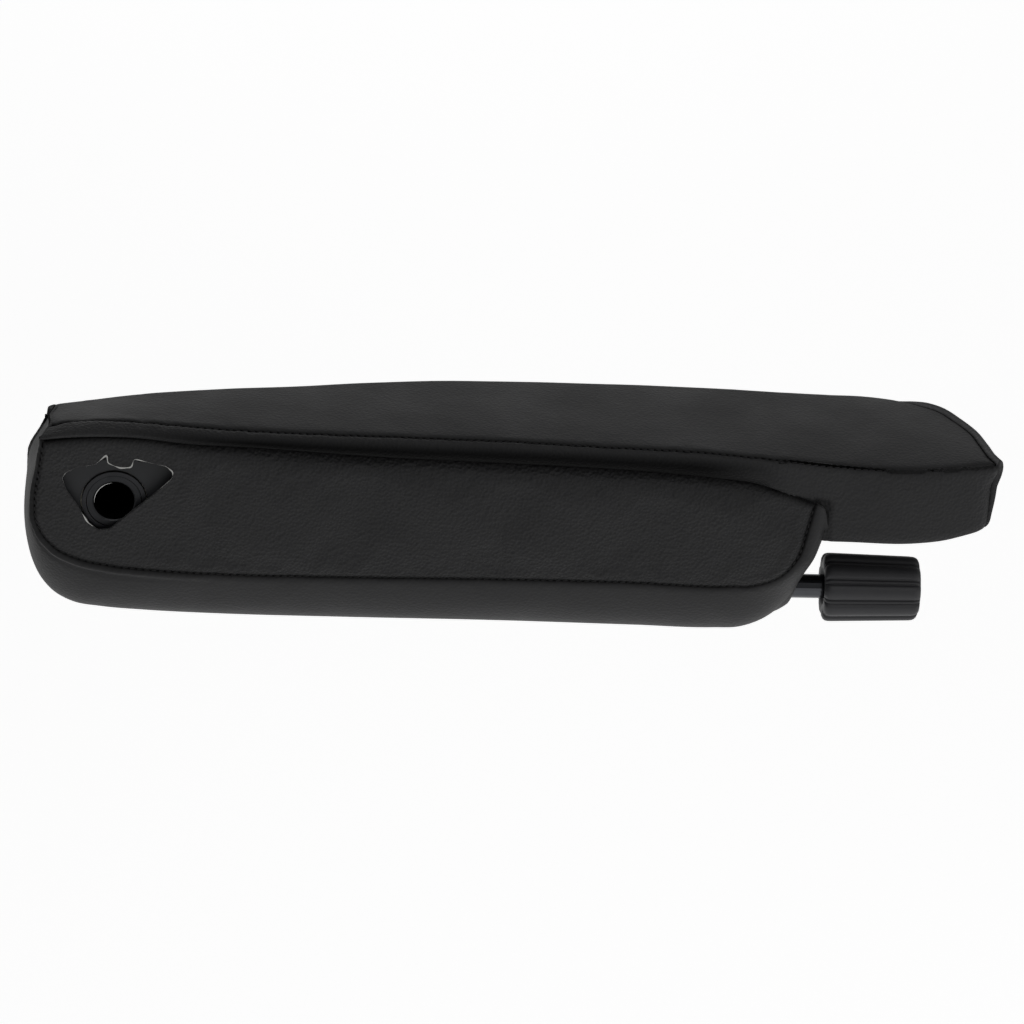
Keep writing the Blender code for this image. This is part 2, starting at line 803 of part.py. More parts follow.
def knob_ring(x, radius, groove):
    """One section of the knob: round lobes with narrower grooves between them."""
    points = []
    count = KNOB_LOBES * 8
    for i in range(count):
        turn = 2 * math.pi * i / count
        dip = (0.5 - 0.5 * math.cos(KNOB_LOBES * turn)) ** 2
        r = radius - groove * dip
        points.append((x, MID_Y + r * math.cos(turn), SPINDLE_Z + r * math.sin(turn)))
    return points


def build_knob():
    rear, front = KNOB_X
    big, small = KNOB_RADIUS
    rings = []
    for step in range(4):
        turn = math.radians(90 * step / 3)
        x = rear + KNOB_ROUNDING * (1 - math.cos(turn))
        rings.append(knob_ring(x, big - KNOB_ROUNDING * (1 - math.sin(turn)), KNOB_GROOVE * step / 3))
    for step in range(4):
        turn = math.radians(90 - 90 * step / 3)
        x = front - KNOB_ROUNDING * (1 - math.cos(turn))
        shrink = KNOB_ROUNDING * (1 - math.sin(turn))
        rings.append(knob_ring(x, small - shrink, KNOB_GROOVE * (1 - step / 3)))
    knob = loft("tilt_knob", rings, plastic("tilt_knob", 0.015))
    socket = rod(
        "knob_socket",
        (rear - 0.001, MID_Y, SPINDLE_Z),
        (SPINDLE_X[1] + GAP, MID_Y, SPINDLE_Z),
        SPINDLE_RADIUS + GAP,
        None,
        True,
        28,
    )
    reach = 0.010
    ends = ((KNOB_PIN_X, MID_Y - reach, SPINDLE_Z), (KNOB_PIN_X, MID_Y + reach, SPINDLE_Z))
    pin_hole = rod("knob_pin_hole", *ends, KNOB_PIN_RADIUS + GAP, None, True, 12)
    cut(knob, socket, pin_hole)
    pin_reach = reach - GAP
    ends = ((KNOB_PIN_X, MID_Y - pin_reach, SPINDLE_Z), (KNOB_PIN_X, MID_Y + pin_reach, SPINDLE_Z))
    rod("knob_pin", *ends, KNOB_PIN_RADIUS, zinc_steel("knob_pin"), sides=12)


# Foam.

# The hollow for the frame and its mechanism: (x from, x to, half width, lowest z).
FRAME_HOLLOWS = [
    (-0.0215, 0.2755, CHEEK_OUTER + GAP, -0.0305),
    (-0.0132, 0.2755, CHEEK_OUTER + GAP, -0.0435),
    (-0.0160, 0.0160, 0.0116, -0.0473),
    (-0.0156, 0.2755, 0.0072, -0.0480),
    (0.0200, 0.2745, 0.0086, -0.0495),
]
HOLLOW_TOP_Z = 0.0300
FOAM_TOP_Z = TRAY_Z[0] - GAP
PAD_BOTTOM_Z = TRAY_Z[1] + GAP


def rim_blend(t):
    """How far towards the crest the rolled edge has come, t of the way across."""
    return math.sin(math.pi * t)


def build_body_foam():
    """A trough of foam round the frame, with its edge rolled like the cover's."""
    seam = inset(rounded(SEAM_CORNERS, CORNER_STEPS), SKIN + GAP)
    crest = inset(rounded(CREST_CORNERS, CORNER_STEPS), SKIN + GAP)
    near = NEAR_Y + VINYL + GAP
    far = FAR_Y - VINYL - GAP
    front = min(point.x for point in (seam[-1], crest[-1])) - 0.0005
    rings = []
    for i in range(RIM_COLUMNS + 1):
        t = i / RIM_COLUMNS
        y = near + (far - near) * (1 - math.cos(math.pi * t)) / 2
        edge = [a.lerp(b, rim_blend(t)) for a, b in zip(seam, crest)]
        edge[0].y = FOAM_TOP_Z
        edge[-1].y -= GAP
        edge += [Vector((front, edge[-1].y)), Vector((front, FOAM_TOP_Z))]
        rings.append([(point.x, y, point.y) for point in edge])
    body = loft("body_foam", rings, foam("body_foam"))
    hub_ends = ((0, NEAR_Y, 0), (0, FAR_Y + 0.001, 0))
    front_ends = ((0.270, MID_Y, SPINDLE_Z), (0.300, MID_Y, SPINDLE_Z))
    for i, (rear, end, half, floor) in enumerate(FRAME_HOLLOWS):
        low = (rear, MID_Y - half, floor)
        high = (end, MID_Y + half, HOLLOW_TOP_Z)
        cut(body, box(f"frame_hollow_{i}", low, high, is_cutter=True))
    cut(
        body,
        rod("hub_tunnel", *hub_ends, FAR_HUB_HOLE_RADIUS, None, True, 32),
        rod("spindle_tunnel", *front_ends, 0.0070, None, True),
        shroud_pocket(),
    )


def shroud_pocket():
    corners = [(x * 1.06, z * 1.06, before, after) for x, z, before, after in SHROUD_OUTLINE]
    return plate(
        "shroud_pocket", [rounded(corners, 4, is_closed=True)], NEAR_Y, SHROUD_Y[1] + 0.0006, None, True
    )


def pad_section(x, bottom):
    """Section of the pad's foam at one station, from its near lower corner round to the far one."""
    near_z = smooth(NEAR_SEAM, x)[1]
    far_z = smooth(FAR_SEAM, x)[1]
    near_top = inside_near(x, SKIN + 2 * GAP)
    far_top = inside_far(x, SKIN + 2 * GAP)
    top_gap = VINYL + 2 * GAP
    edge_gap = top_gap + 0.0008
    middle = (x, (near_top + far_top) / 2, (near_z + far_z) / 2 + TOP_CROWN - top_gap)
    if x < NOSE_X:
        behind_shroud = x < SHROUD_OUTLINE[1][0] + 0.020
        low_near = SHROUD_Y[1] + 2 * GAP if behind_shroud else NEAR_Y + VINYL + GAP
        low_far = FAR_Y - VINYL - GAP
        near_shoulder = max(smooth(NEAR_CREASE, x)[0] - 0.001, bottom + 0.001)
        far_shoulder = max(smooth(FAR_CREASE, x)[0] - 0.002, bottom + 0.001)
    else:
        low_near = near_top
        low_far = far_top
        near_shoulder = bottom + 0.001
        far_shoulder = bottom + 0.001
    return [
        (x, low_near, bottom),
        (x, max(low_near, near_top - 0.0065), near_shoulder),
        (x, near_top, near_z - edge_gap),
        middle,
        (x, far_top, far_z - edge_gap),
        (x, low_far - 0.0018 if x < NOSE_X else low_far, far_shoulder),
        (x, low_far, bottom),
    ]


def build_pad_foam():
    rear = stations(-0.0275, 0.2855, 14)
    front = stations(NOSE_BACK_X + 0.001, 0.3475, 8)
    rings = [pad_section(x, PAD_BOTTOM_Z) for x in rear + front]
    pad = loft("pad_foam", rings, foam("pad_foam"))
    rear, _, half, _ = FRAME_HOLLOWS[0]
    low = (rear, MID_Y - half, 0.0)
    high = (TRAY_X[0] - GAP, MID_Y + half, LEVER_RADIUS + 0.0015)
    tools = [box("lever_pocket", low, high, is_cutter=True)]
    hub_ends = ((0, NEAR_Y, 0), (0, FAR_Y + 0.001, 0))
    tools.append(rod("pad_hub_tunnel", *hub_ends, FAR_HUB_HOLE_RADIUS, None, True, 32))
    for i, x in enumerate(TRAY_SCREWS_X):
        start = (x, MID_Y, PAD_BOTTOM_Z - 0.001)
        end = (x, MID_Y, PAD_BOTTOM_Z + 0.003)
        tools.append(rod(f"screw_pocket_{i}", start, end, 0.0055, None, True, 16))
    cut(pad, *tools)


def build_nose_foam():
    """Foam under the tray, in the part of the pad that overhangs the body."""
    bottom = NOSE_UNDER_Z + VINYL + GAP
    rings = []
    for x in stations(NOSE_BACK_X, 0.3475, 9):
        near = inside_near(x, SKIN + 2 * GAP)
        far = inside_far(x, SKIN + 2 * GAP)
        rings.append(
            [(x, near, bottom), (x, far, bottom), (x, far, FOAM_TOP_Z), (x, near, FOAM_TOP_Z)]
        )
    loft("nose_foam", rings, foam("nose_foam"))


# Sewn cover.


def build_side_panels():
    seam = inset(rounded(SEAM_CORNERS, CORNER_STEPS), SKIN)
    cut_out = rounded(CUT_OUT, 4, is_closed=True)
    hub_hole = circle(0, 0, FAR_HUB_HOLE_RADIUS)
    for name, crease, hole, low, high in (
        ("near_side_panel", NEAR_CREASE, cut_out, NEAR_Y, NEAR_Y + VINYL),
        ("far_side_panel", FAR_CREASE, hub_hole, FAR_Y - VINYL, FAR_Y),
    ):
        start = crease[0][0] + SKIN
        edge = [(x, smooth(crease, x)[0] - GAP) for x in stations(crease[-1][0] - 0.001, start, 15)]
        outline = [tuple(point) for point in seam[1:]] + edge
        plate(name, [outline, hole], low, high, vinyl(name))


def build_rim_gusset():
    """The strip sewn round the rear, bottom and front, bulging over the foam's rolled edge."""
    seam = rounded(SEAM_CORNERS, CORNER_STEPS)
    crest = rounded(CREST_CORNERS, CORNER_STEPS)
    rear_top = (NEAR_CREASE[0][1], FAR_CREASE[0][1])
    rear_crown = 0.0045
    sliver_top = Vector((0.2852, 0.0052))
    rows = []
    for i in range(RIM_COLUMNS + 1):
        t = i / RIM_COLUMNS
        y = NEAR_Y + (FAR_Y - NEAR_Y) * (1 - math.cos(math.pi * t)) / 2
        edge = [a.lerp(b, rim_blend(t)) for a, b in zip(seam, crest)]
        edge[0].y = rear_top[0] + (rear_top[1] - rear_top[0]) * t - 0.001
        edge[0].y += rear_crown * rim_blend(t)
        if i == 0:
            # Beside the pad's band, the strip runs up the front of the near panel as a sliver.
            edge[-1] = sliver_top
        rows.append([(point.x, y, point.y) for point in edge])
    gusset = sheet("rim_gusset", rows, (0, 0, -1), vinyl("rim_gusset"))
    hole_ends = ((0.274, MID_Y, SPINDLE_Z), (0.300, MID_Y, SPINDLE_Z))
    cut(gusset, rod("spindle_hole", *hole_ends, 0.0062, None, True))


def top_stations():
    return stations(-0.0315, 0.2840, 15) + stations(0.2880, 0.3120, 3) + stations(0.3190, 0.3540, 6)


def build_top_panel():
    rows = []
    for x in top_stations():
        near_z = smooth(NEAR_SEAM, x)[1]
        far_z = smooth(FAR_SEAM, x)[1]
        near_y = inside_near(x, SKIN)
        far_y = inside_far(x, SKIN)
        row = []
        for i in range(5):
            t = i / 4
            y = near_y + (far_y - near_y) * t
            z = near_z + (far_z - near_z) * t + TOP_CROWN * math.sin(math.pi * t)
            row.append((x, y, z))
        rows.append(row)
    sheet("top_panel", rows, (0, 0, 1), vinyl("top_panel"))


def build_near_band():
    rows = []
    rear = stations(-0.029, NOSE_X - 0.0006, 16)
    for x in rear + stations(NOSE_X + 0.0006, 0.3600, 9):
        near_y, near_z = smooth(NEAR_SEAM, x)
        low_y, low_z = NEAR_Y, NOSE_UNDER_Z
        bulge = BAND_BULGE
        if x < NOSE_X:
            low_z = smooth(NEAR_CREASE, x)[0] + shoulder_lift(x)
            bulge = BAND_BULGE * min(max((x + 0.02) / 0.12, 0.1), 1.0)
        else:
            low_y = near_y
        rows.append(band_row(x, (near_y, near_z - GAP), (low_y, low_z), -bulge))
    sheet("near_band", rows, (0, -1, 0), vinyl("near_band"))


def shoulder_lift(x):
    """Clearance of a band's lower edge over its side panel: more at the rear, where the band leans in."""
    return GAP + 1.2 * VINYL * min(max((0.12 - x) / 0.06, 0.0), 1.0)


def band_row(x, top, low, bulge, columns=6):
    row = []
    for i in range(columns):
        t = i / (columns - 1)
        y = top[0] + (low[0] - top[0]) * t + bulge * math.sin(math.pi * t)
        row.append((x, y, top[1] + (low[1] - top[1]) * t))
    return row


def build_far_band():
    """Band along the far side and round the front, tucked under to the body along its length."""
    rows = []
    for x in stations(-0.029, NOSE_X - 0.0006, 16):
        far_y, far_z = smooth(FAR_SEAM, x)
        low_z = smooth(FAR_CREASE, x)[0] + shoulder_lift(x)
        row = []
        for i in range(6):
            t = i / 5
            y = FAR_Y + (far_y - FAR_Y) * math.sqrt(1 - t**3)
            y += 0.0010 * math.sin(math.pi * t)
            row.append((x, y, far_z - GAP + (low_z - far_z) * t))
        rows.append(row)
    front = stations(NOSE_X + 0.0035, 0.3120, 4) + stations(0.3190, 0.3560, 7) + [0.3590]
    for x in front:
        far_y, far_z = smooth(FAR_SEAM, x)
        rows.append(band_row(x, (far_y, far_z - GAP), (far_y, NOSE_UNDER_Z), 0.0010))
    sheet("far_band", rows, (0, 1, 0), vinyl("far_band"))


def build_pad_underside():
    rows = []
    for x in stations(NOSE_BACK_X, 0.3520, 9):
        near = inside_near(x, SKIN + 2 * GAP)
        far = inside_far(x, SKIN + 2 * GAP)
        rows.append([(x, near, NOSE_UNDER_Z), (x, (near + far) / 2, NOSE_UNDER_Z), (x, far, NOSE_UNDER_Z)])
    sheet("pad_underside", rows, (0, 0, -1), vinyl("pad_underside"))


def build_armrest():
    build_hub()
    build_stop_lever()
    build_frame()
    build_pivot_bushes()
    build_brackets()
    build_tray()
    build_shroud()
    build_spindle()
    build_nut()
    build_knob()
    build_body_foam()
    build_pad_foam()
    build_nose_foam()
    build_side_panels()
    build_rim_gusset()
    build_top_panel()
    build_near_band()
    build_far_band()
    build_pad_underside()


build_armrest()
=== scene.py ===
"""Fold-up seat armrest: a sewn vinyl cover over foam, with its pivot and its tilt knob.

Lengths in the lists below are millimetres; meshes are made in metres. +X runs to the front,
-Y to the outer side that faces the room, +Z up, and the origin is on the pivot axis.
"""

import json
import math

import bpy
import numpy as np
from bpy.props import FloatProperty, FloatVectorProperty, IntProperty, PointerProperty
from mathutils import Matrix, Vector, bvhtree, geometry, kdtree


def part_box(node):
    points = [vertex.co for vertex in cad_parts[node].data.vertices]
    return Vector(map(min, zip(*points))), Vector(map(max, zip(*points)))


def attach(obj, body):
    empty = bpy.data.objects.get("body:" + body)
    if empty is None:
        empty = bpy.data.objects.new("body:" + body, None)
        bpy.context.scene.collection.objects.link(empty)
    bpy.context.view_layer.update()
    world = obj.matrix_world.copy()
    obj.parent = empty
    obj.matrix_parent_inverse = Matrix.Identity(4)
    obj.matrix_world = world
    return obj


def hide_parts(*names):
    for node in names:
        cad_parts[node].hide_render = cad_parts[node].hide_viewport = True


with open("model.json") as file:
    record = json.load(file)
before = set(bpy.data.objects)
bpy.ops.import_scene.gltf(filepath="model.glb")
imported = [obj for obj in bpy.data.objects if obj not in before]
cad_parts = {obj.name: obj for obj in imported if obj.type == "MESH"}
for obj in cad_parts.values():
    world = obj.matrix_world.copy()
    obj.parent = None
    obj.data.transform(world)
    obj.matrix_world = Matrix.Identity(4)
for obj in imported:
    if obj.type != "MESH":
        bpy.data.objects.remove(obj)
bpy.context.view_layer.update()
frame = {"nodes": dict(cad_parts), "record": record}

bl_info = {
    "name": "Fold-up armrest", "version": (1, 0, 0), "blender": (4, 5, 0),
    "location": "View3D > Sidebar > Armrest",
    "description": "Builds a fold-up seat armrest with a sewn vinyl cover", "category": "Object",
}

MM = 0.001

# Seams round the pad's top panel, rear to front tip: (x, y, z).
NEAR_SEAM = [
    (-27, -42, 30), (-18, -42.4, 32.5), (7, -44, 33.8), (28, -45.2, 32.8), (64, -47, 31.8),
    (122, -48.4, 31.2), (163, -49, 30.6), (196, -49.7, 29.5), (236, -50, 28.2), (271, -50, 25.2),
    (292, -50, 23.1), (319, -49.5, 21.6), (347, -47.2, 22.3), (359, -45, 23),
]
FAR_SEAM = [
    (-24, -8, 24.4), (11, -4, 28.2), (44, -1, 30.0), (76, 2, 30.8), (103, 5.4, 31.5), (135, 9, 31.6),
    (168, 12, 30.7), (216, 15, 29.1), (248, 16.8, 27.6), (277, 18.6, 25.7), (298, 20.8, 24),
    (314, 22.2, 22.9), (327, 19.4, 22.5), (335, 14.6, 22.4), (341.4, 9.6, 22.4), (347.4, -0.8, 22.4),
    (352.4, -13, 22.6), (354.9, -27.5, 23), (356.6, -38, 23.1), (359, -45, 23),
]
# The far seam without its turn round the front, as it would run straight on.
FAR_LONG_EDGE = FAR_SEAM[:12] + [(361, 22.9, 22.9)]

# Seam round each side panel, from the rear top, and the widest line of the strip beyond it: (x, z).
SIDE_SEAM = [
    (-30.8, 26.5), (-32, 14), (-33, -0.5), (-32, -8.4), (-29, -14.2), (-23, -20.6), (-14, -25),
    (-1, -27.8), (15, -29.4), (44, -30.7), (89, -30.9), (158, -30.5), (213, -30.9), (250, -31.9),
    (264, -31), (273.5, -26.8), (279.6, -18.6), (282.4, -7), (285, 6),
]
RIM_CREST = [
    (-27.2, 26.5), (-29.8, 20), (-32.7, 10), (-34.6, -2), (-35.4, -14), (-34.0, -26), (-31.6, -35),
    (-28, -42.6), (-22.4, -49), (-14.8, -53.1), (-4, -54.9), (14, -56.2), (46, -57.3), (96, -57.8),
    (162, -58.1), (217, -59), (250, -59.5), (261, -58.8), (271, -54.4), (279.5, -45.6), (285.5, -33),
    (289.8, -20), (292.6, -9.4), (294.6, 3.0),
]
NEAR_FACE_Y = -52.0
FAR_FACE_Y = -3.0
BODY_FRONT_X = 285
REAR_TOP_Z = 26.5

# Upper edges of the side panels, where the pad's bands tuck in: (x, z).
NEAR_CREASE = [
    (-30.8, 26.5), (-14, 28.6), (0, 29.0), (12, 28.4), (28, 26.5), (64, 24.2), (101, 21.9), (164, 19.8),
    (210, 18.0), (240, 15.7), (265, 12.6), (285, 6),
]
FAR_CREASE = [(-26.4, 17.8), (0, 21.8), (64, 20.0), (164, 13.0), (240, 8.5), (285, 5)]

# Rear end of the strip round the body, which the top panel's rear edge follows: (y, x, z).
REAR_EDGE = [
    (-52, -30.8, 26.5), (-51.4, -30.6, 28.1), (-50, -30, 28.8), (-47, -28.9, 29.4), (-42, -27, 30),
    (-25, -26.2, 27.4), (-8, -24, 24.4), (-5.5, -24.9, 23), (-3.4, -26, 20.4), (-3, -26.4, 17.8),
]

# Nose of the pad, in front of the body.
NOSE_BLEND_X = (262.0, BODY_FRONT_X)
NOSE_FLOOR = [(262, -11.4), (300, -11.6), (327, -12.1), (339, -11.0), (350, -8.6), (361, -6.6)]

# Cut-out over the pivot, clockwise from its left end: (x, z).
CUT_OUT = [
    (-21.4, 11.2), (-19.9, 13.9), (-15.1, 16.2), (-8.3, 17.3), (-5.4, 20.2), (-3.7, 21.8), (-3.2, 18.2),
    (1.8, 16.3), (6.3, 16.7), (7.3, 20.3), (13.8, 18.7), (20.3, 17.4), (23.2, 15), (22.9, 12.2),
    (14.3, 3.6), (6.5, -3.6), (-1.3, -10.9), (-6.1, -11.5), (-10.3, -8.4), (-15, -0.5), (-19.6, 6),
]
# How much of the pale backing shows at each of those corners, where the vinyl is pulled away from it.
BACKING_SHOWN = [
    0.4, 0.6, 0.3, 0.45, 1.0, 1.4, 0.9, 1.3, 1.3, 0.9, 0.5, 0.5, 0.9, 0.5, 0.0, 0.0, 0.0, 0.0, 1.15,
    0.0, 0.15,
]
HUB_HOLE_RADIUS = 17.8

KNOB_AXIS = (-27.5, -41.5)
SHAFT_HOLE_RADIUS = 6.2


# Colours and nodes.


def linear(code):
    """A linear colour from an sRGB hex value."""
    out = []
    for i in (0, 2, 4):
        level = int(code[i : i + 2], 16) / 255
        out.append(level / 12.92 if level <= 0.04045 else ((level + 0.055) / 1.055) ** 2.4)
    return tuple(out)


def new_material(name):
    mat = bpy.data.materials.new(name)
    mat.use_nodes = True
    mat.node_tree.nodes.clear()
    return mat


def add_node(mat, kind, settings=None, links=None):
    """Adds a node: settings go to its sockets or its own fields, links join sockets to it."""
    node = mat.node_tree.nodes.new(kind)
    for key, value in (settings or {}).items():
        if isinstance(key, str) and hasattr(node, key):
            setattr(node, key, value)
        else:
            node.inputs[key].default_value = value
    for key, source in (links or {}).items():
        mat.node_tree.links.new(source, node.inputs[key])
    return node


def per_metre(size_mm):
    """Texture scale for a pattern whose repeat is size_mm."""
    return 1.0 / (size_mm * MM)


def four(colour):
    return (*tuple(colour)[:3], 1.0)


# Materials.


def pvc_leathercloth(name, depth):
    """Black PVC leathercloth, calendered and embossed with a fine pebble grain.

    The grain breaks the sheen into soft specks, and painted shade darkens the seams, creases and folds.
    """
    mat = new_material(name)
    place = add_node(mat, "ShaderNodeTexCoord")
    # Pebbles 1.3 mm across, the embossing roller's own size, with their creases between.
    pebble = add_node(
        mat, "ShaderNodeTexVoronoi",
        {"feature": "SMOOTH_F1", "Scale": per_metre(1.3), "Smoothness": 0.3, "Randomness": 1.0},
        {"Vector": place.outputs["Object"]},
    )
    # Finer skin texture inside each pebble, 0.35 mm.
    skin = add_node(
        mat, "ShaderNodeTexNoise", {"Scale": per_metre(0.35), "Detail": 3.0, "Roughness": 0.6},
        {"Vector": place.outputs["Object"]},
    )
    # Slow unevenness of the coating, over about 30 mm.
    cast = add_node(
        mat, "ShaderNodeTexNoise", {"Scale": per_metre(30.0), "Detail": 4.0, "Roughness": 0.55},
        {"Vector": place.outputs["Object"]},
    )
    # The seam_depth attribute holds painted shade for the seams, creases and folds.
    seam = add_node(mat, "ShaderNodeAttribute", {"attribute_name": "seam_depth"})
    tone = add_node(
        mat, "ShaderNodeMixRGB", {"Color1": four(colours().vinyl), "Color2": four(colours().vinyl_worn)},
        {"Fac": cast.outputs["Fac"]},
    )
    # A painted highlight: the crest of the roll round the front is painted a paler grey.
    painted_roll_highlight = add_node(mat, "ShaderNodeAttribute", {"attribute_name": "painted_roll_highlight"})
    pale = add_node(
        mat, "ShaderNodeMixRGB", {"Color2": four(linear("59595a"))},
        {"Color1": tone.outputs["Color"], "Fac": painted_roll_highlight.outputs["Fac"]},
    )
    # Painted shade: the cover goes nearly black in its seams and folds.
    dark = add_node(
        mat, "ShaderNodeMixRGB", {"Color2": (0.0018, 0.0018, 0.0018, 1.0)},
        {"Color1": pale.outputs["Color"], "Fac": seam.outputs["Fac"]},
    )
    relief = add_node(
        mat, "ShaderNodeMath", {"operation": "MULTIPLY_ADD", 1: 0.35},
        {0: skin.outputs["Fac"], 2: pebble.outputs["Distance"]},
    )
    bump = add_node(
        mat, "ShaderNodeBump", {"Strength": 0.55 * depth, "Distance": 0.0006},
        {"Height": relief.outputs["Value"]},
    )
    gloss = add_node(
        mat, "ShaderNodeMapRange", {"From Min": 0.3, "From Max": 0.7, "To Min": 0.56, "To Max": 0.66},
        {"Value": cast.outputs["Fac"]},
    )
    # In the painted shade of the seams and folds the coating's shine is taken out too.
    shine = add_node(
        mat, "ShaderNodeMapRange", {"To Min": 0.30, "To Max": 0.0}, {"Value": seam.outputs["Fac"]},
    )
    shader = add_node(
        mat,
        "ShaderNodeBsdfPrincipled",
        {"IOR": 1.45, "Specular IOR Level": 0.30, "Sheen Weight": 0.03, "Sheen Roughness": 0.5},
        {
            "Base Color": dark.outputs["Color"], "Specular IOR Level": shine.outputs["Result"],
            "Roughness": gloss.outputs["Result"], "Normal": bump.outputs["Normal"],
        },
    )
    add_node(mat, "ShaderNodeOutputMaterial", None, {"Surface": shader.outputs["BSDF"]})
    return mat


def grained_finish(name, colour, other, grain_mm, strength, shader_settings, low_high):
    """A moulded, cast or blasted surface: fine grain in the bump, slow drift in tone and gloss."""
    mat = new_material(name)
    place = add_node(mat, "ShaderNodeTexCoord")
    grain = add_node(
        mat, "ShaderNodeTexNoise", {"Scale": per_metre(grain_mm), "Detail": 3.0, "Roughness": 0.6},
        {"Vector": place.outputs["Object"]},
    )
    drift = add_node(
        mat, "ShaderNodeTexNoise", {"Scale": per_metre(grain_mm * 18), "Detail": 4.0, "Roughness": 0.6},
        {"Vector": place.outputs["Object"]},
    )
    tone = add_node(
        mat, "ShaderNodeMixRGB", {"Color1": four(colour), "Color2": four(other)},
        {"Fac": drift.outputs["Fac"]},
    )
    gloss = add_node(
        mat, "ShaderNodeMapRange",
        {"From Min": 0.3, "From Max": 0.7, "To Min": low_high[0], "To Max": low_high[1]},
        {"Value": drift.outputs["Fac"]},
    )
    bump = add_node(
        mat, "ShaderNodeBump", {"Strength": strength, "Distance": grain_mm * MM * 0.25},
        {"Height": grain.outputs["Fac"]},
    )
    shader = add_node(
        mat,
        "ShaderNodeBsdfPrincipled",
        shader_settings,
        {
            "Base Color": tone.outputs["Color"], "Roughness": gloss.outputs["Result"],
            "Normal": bump.outputs["Normal"],
        },
    )
    add_node(mat, "ShaderNodeOutputMaterial", None, {"Surface": shader.outputs["BSDF"]})
    return mat


# Lines and grids. Everything here is in millimetres.


def flow(points, spacing):
    """A smooth line through points, as an array of points a given spacing apart."""
    p = np.array(points, float)
    knots = np.concatenate([[0.0], np.cumsum(np.linalg.norm(np.diff(p, axis=0), axis=1))])
    slopes = np.gradient(p, knots, axis=0)
    at = np.linspace(0, knots[-1], max(int(knots[-1] / (spacing * 0.25)), 40))
    i = np.clip(np.searchsorted(knots, at, side="right") - 1, 0, len(p) - 2)
    width = (knots[i + 1] - knots[i])[:, None]
    t = ((at - knots[i])[:, None]) / width
    rise = p[i + 1] - p[i]
    start = slopes[i] * width
    end = slopes[i + 1] * width
    line = p[i] + start * t + (3 * rise - 2 * start - end) * t**2 + (start + end - 2 * rise) * t**3
    return spaced(line, spacing)


def spaced(line, spacing, count=None):
    """The same line as points an even distance apart."""
    run = travel(line)
    count = count or max(int(round(run[-1] / spacing)), 2)
    at = np.linspace(0, run[-1], count + 1)
    return np.stack([np.interp(at, run, line[:, k]) for k in range(line.shape[1])], 1)


def travel(line):
    """Distance run along a line at each of its points."""
    return np.concatenate([[0.0], np.cumsum(np.linalg.norm(np.diff(line, axis=0), axis=1))])


def read(points, x):
    """Height of a smooth line (x, value) at each x."""
    line = flow(points, 1.0)
    return np.interp(x, line[:, 0], line[:, 1])


def long_edge(seam, axis, x):
    """The second or third coordinate of an edge's points, read at values of the first."""
    return read([(p[0], p[axis]) for p in seam], x)


def ease(x, low, high):
    """Rises smoothly from 0 at low to 1 at high."""
    t = np.clip((x - low) / (high - low), 0, 1)
    return t * t * (3 - 2 * t)


def blurred(values, reach):
    """Values averaged along a line with their neighbours, the ends held."""
    kernel = np.exp(-0.5 * (np.arange(-3 * reach, 3 * reach + 1) / reach) ** 2)
    kernel /= kernel.sum()
    pad = 3 * reach
    out = np.empty_like(values)
    for k in range(values.shape[1]):
        wide = np.concatenate([np.repeat(values[:1, k], pad), values[:, k], np.repeat(values[-1:, k], pad)])
        out[:, k] = np.convolve(wide, kernel, mode="valid")
    return out


def closed_outline(points, spacing, rounding):
    """A closed outline with each corner rounded a little, as evenly spaced points."""
    p = np.array(points, float)
    out = []
    for i in range(len(p)):
        here = p[i]
        back = p[i - 1] - here
        on = p[(i + 1) % len(p)] - here
        start = here + back * min(rounding / np.linalg.norm(back), 0.45)
        end = here + on * min(rounding / np.linalg.norm(on), 0.45)
        for t in np.linspace(0, 1, 5):
            out.append(start * (1 - t) ** 2 + here * 2 * t * (1 - t) + end * t * t)
    out.append(out[0])
    return spaced(np.array(out), spacing)[:-1]


def inside(points, outline):
    """Whether each 2-D point lies inside a closed outline."""
    x, y = points[:, 0][:, None], points[:, 1][:, None]
    a = outline
    b = np.roll(outline, -1, axis=0)
    spans = (a[:, 1] > y) != (b[:, 1] > y)
    with np.errstate(divide="ignore", invalid="ignore"):
        cross = (b[:, 0] - a[:, 0]) * (y - a[:, 1]) / (b[:, 1] - a[:, 1]) + a[:, 0]
    return (spans & (x < cross)).sum(1) % 2 == 1


def nearest(points, line):
    """(distance, position along the line) of each 2-D point from an open line."""
    tree = kdtree.KDTree(len(line))
    for i, q in enumerate(line):
        tree.insert((q[0], q[1], 0), i)
    tree.balance()
    run = travel(line)
    found = [tree.find((q[0], q[1], 0)) for q in points]
    return np.array([f[2] for f in found]), run[[f[1] for f in found]]


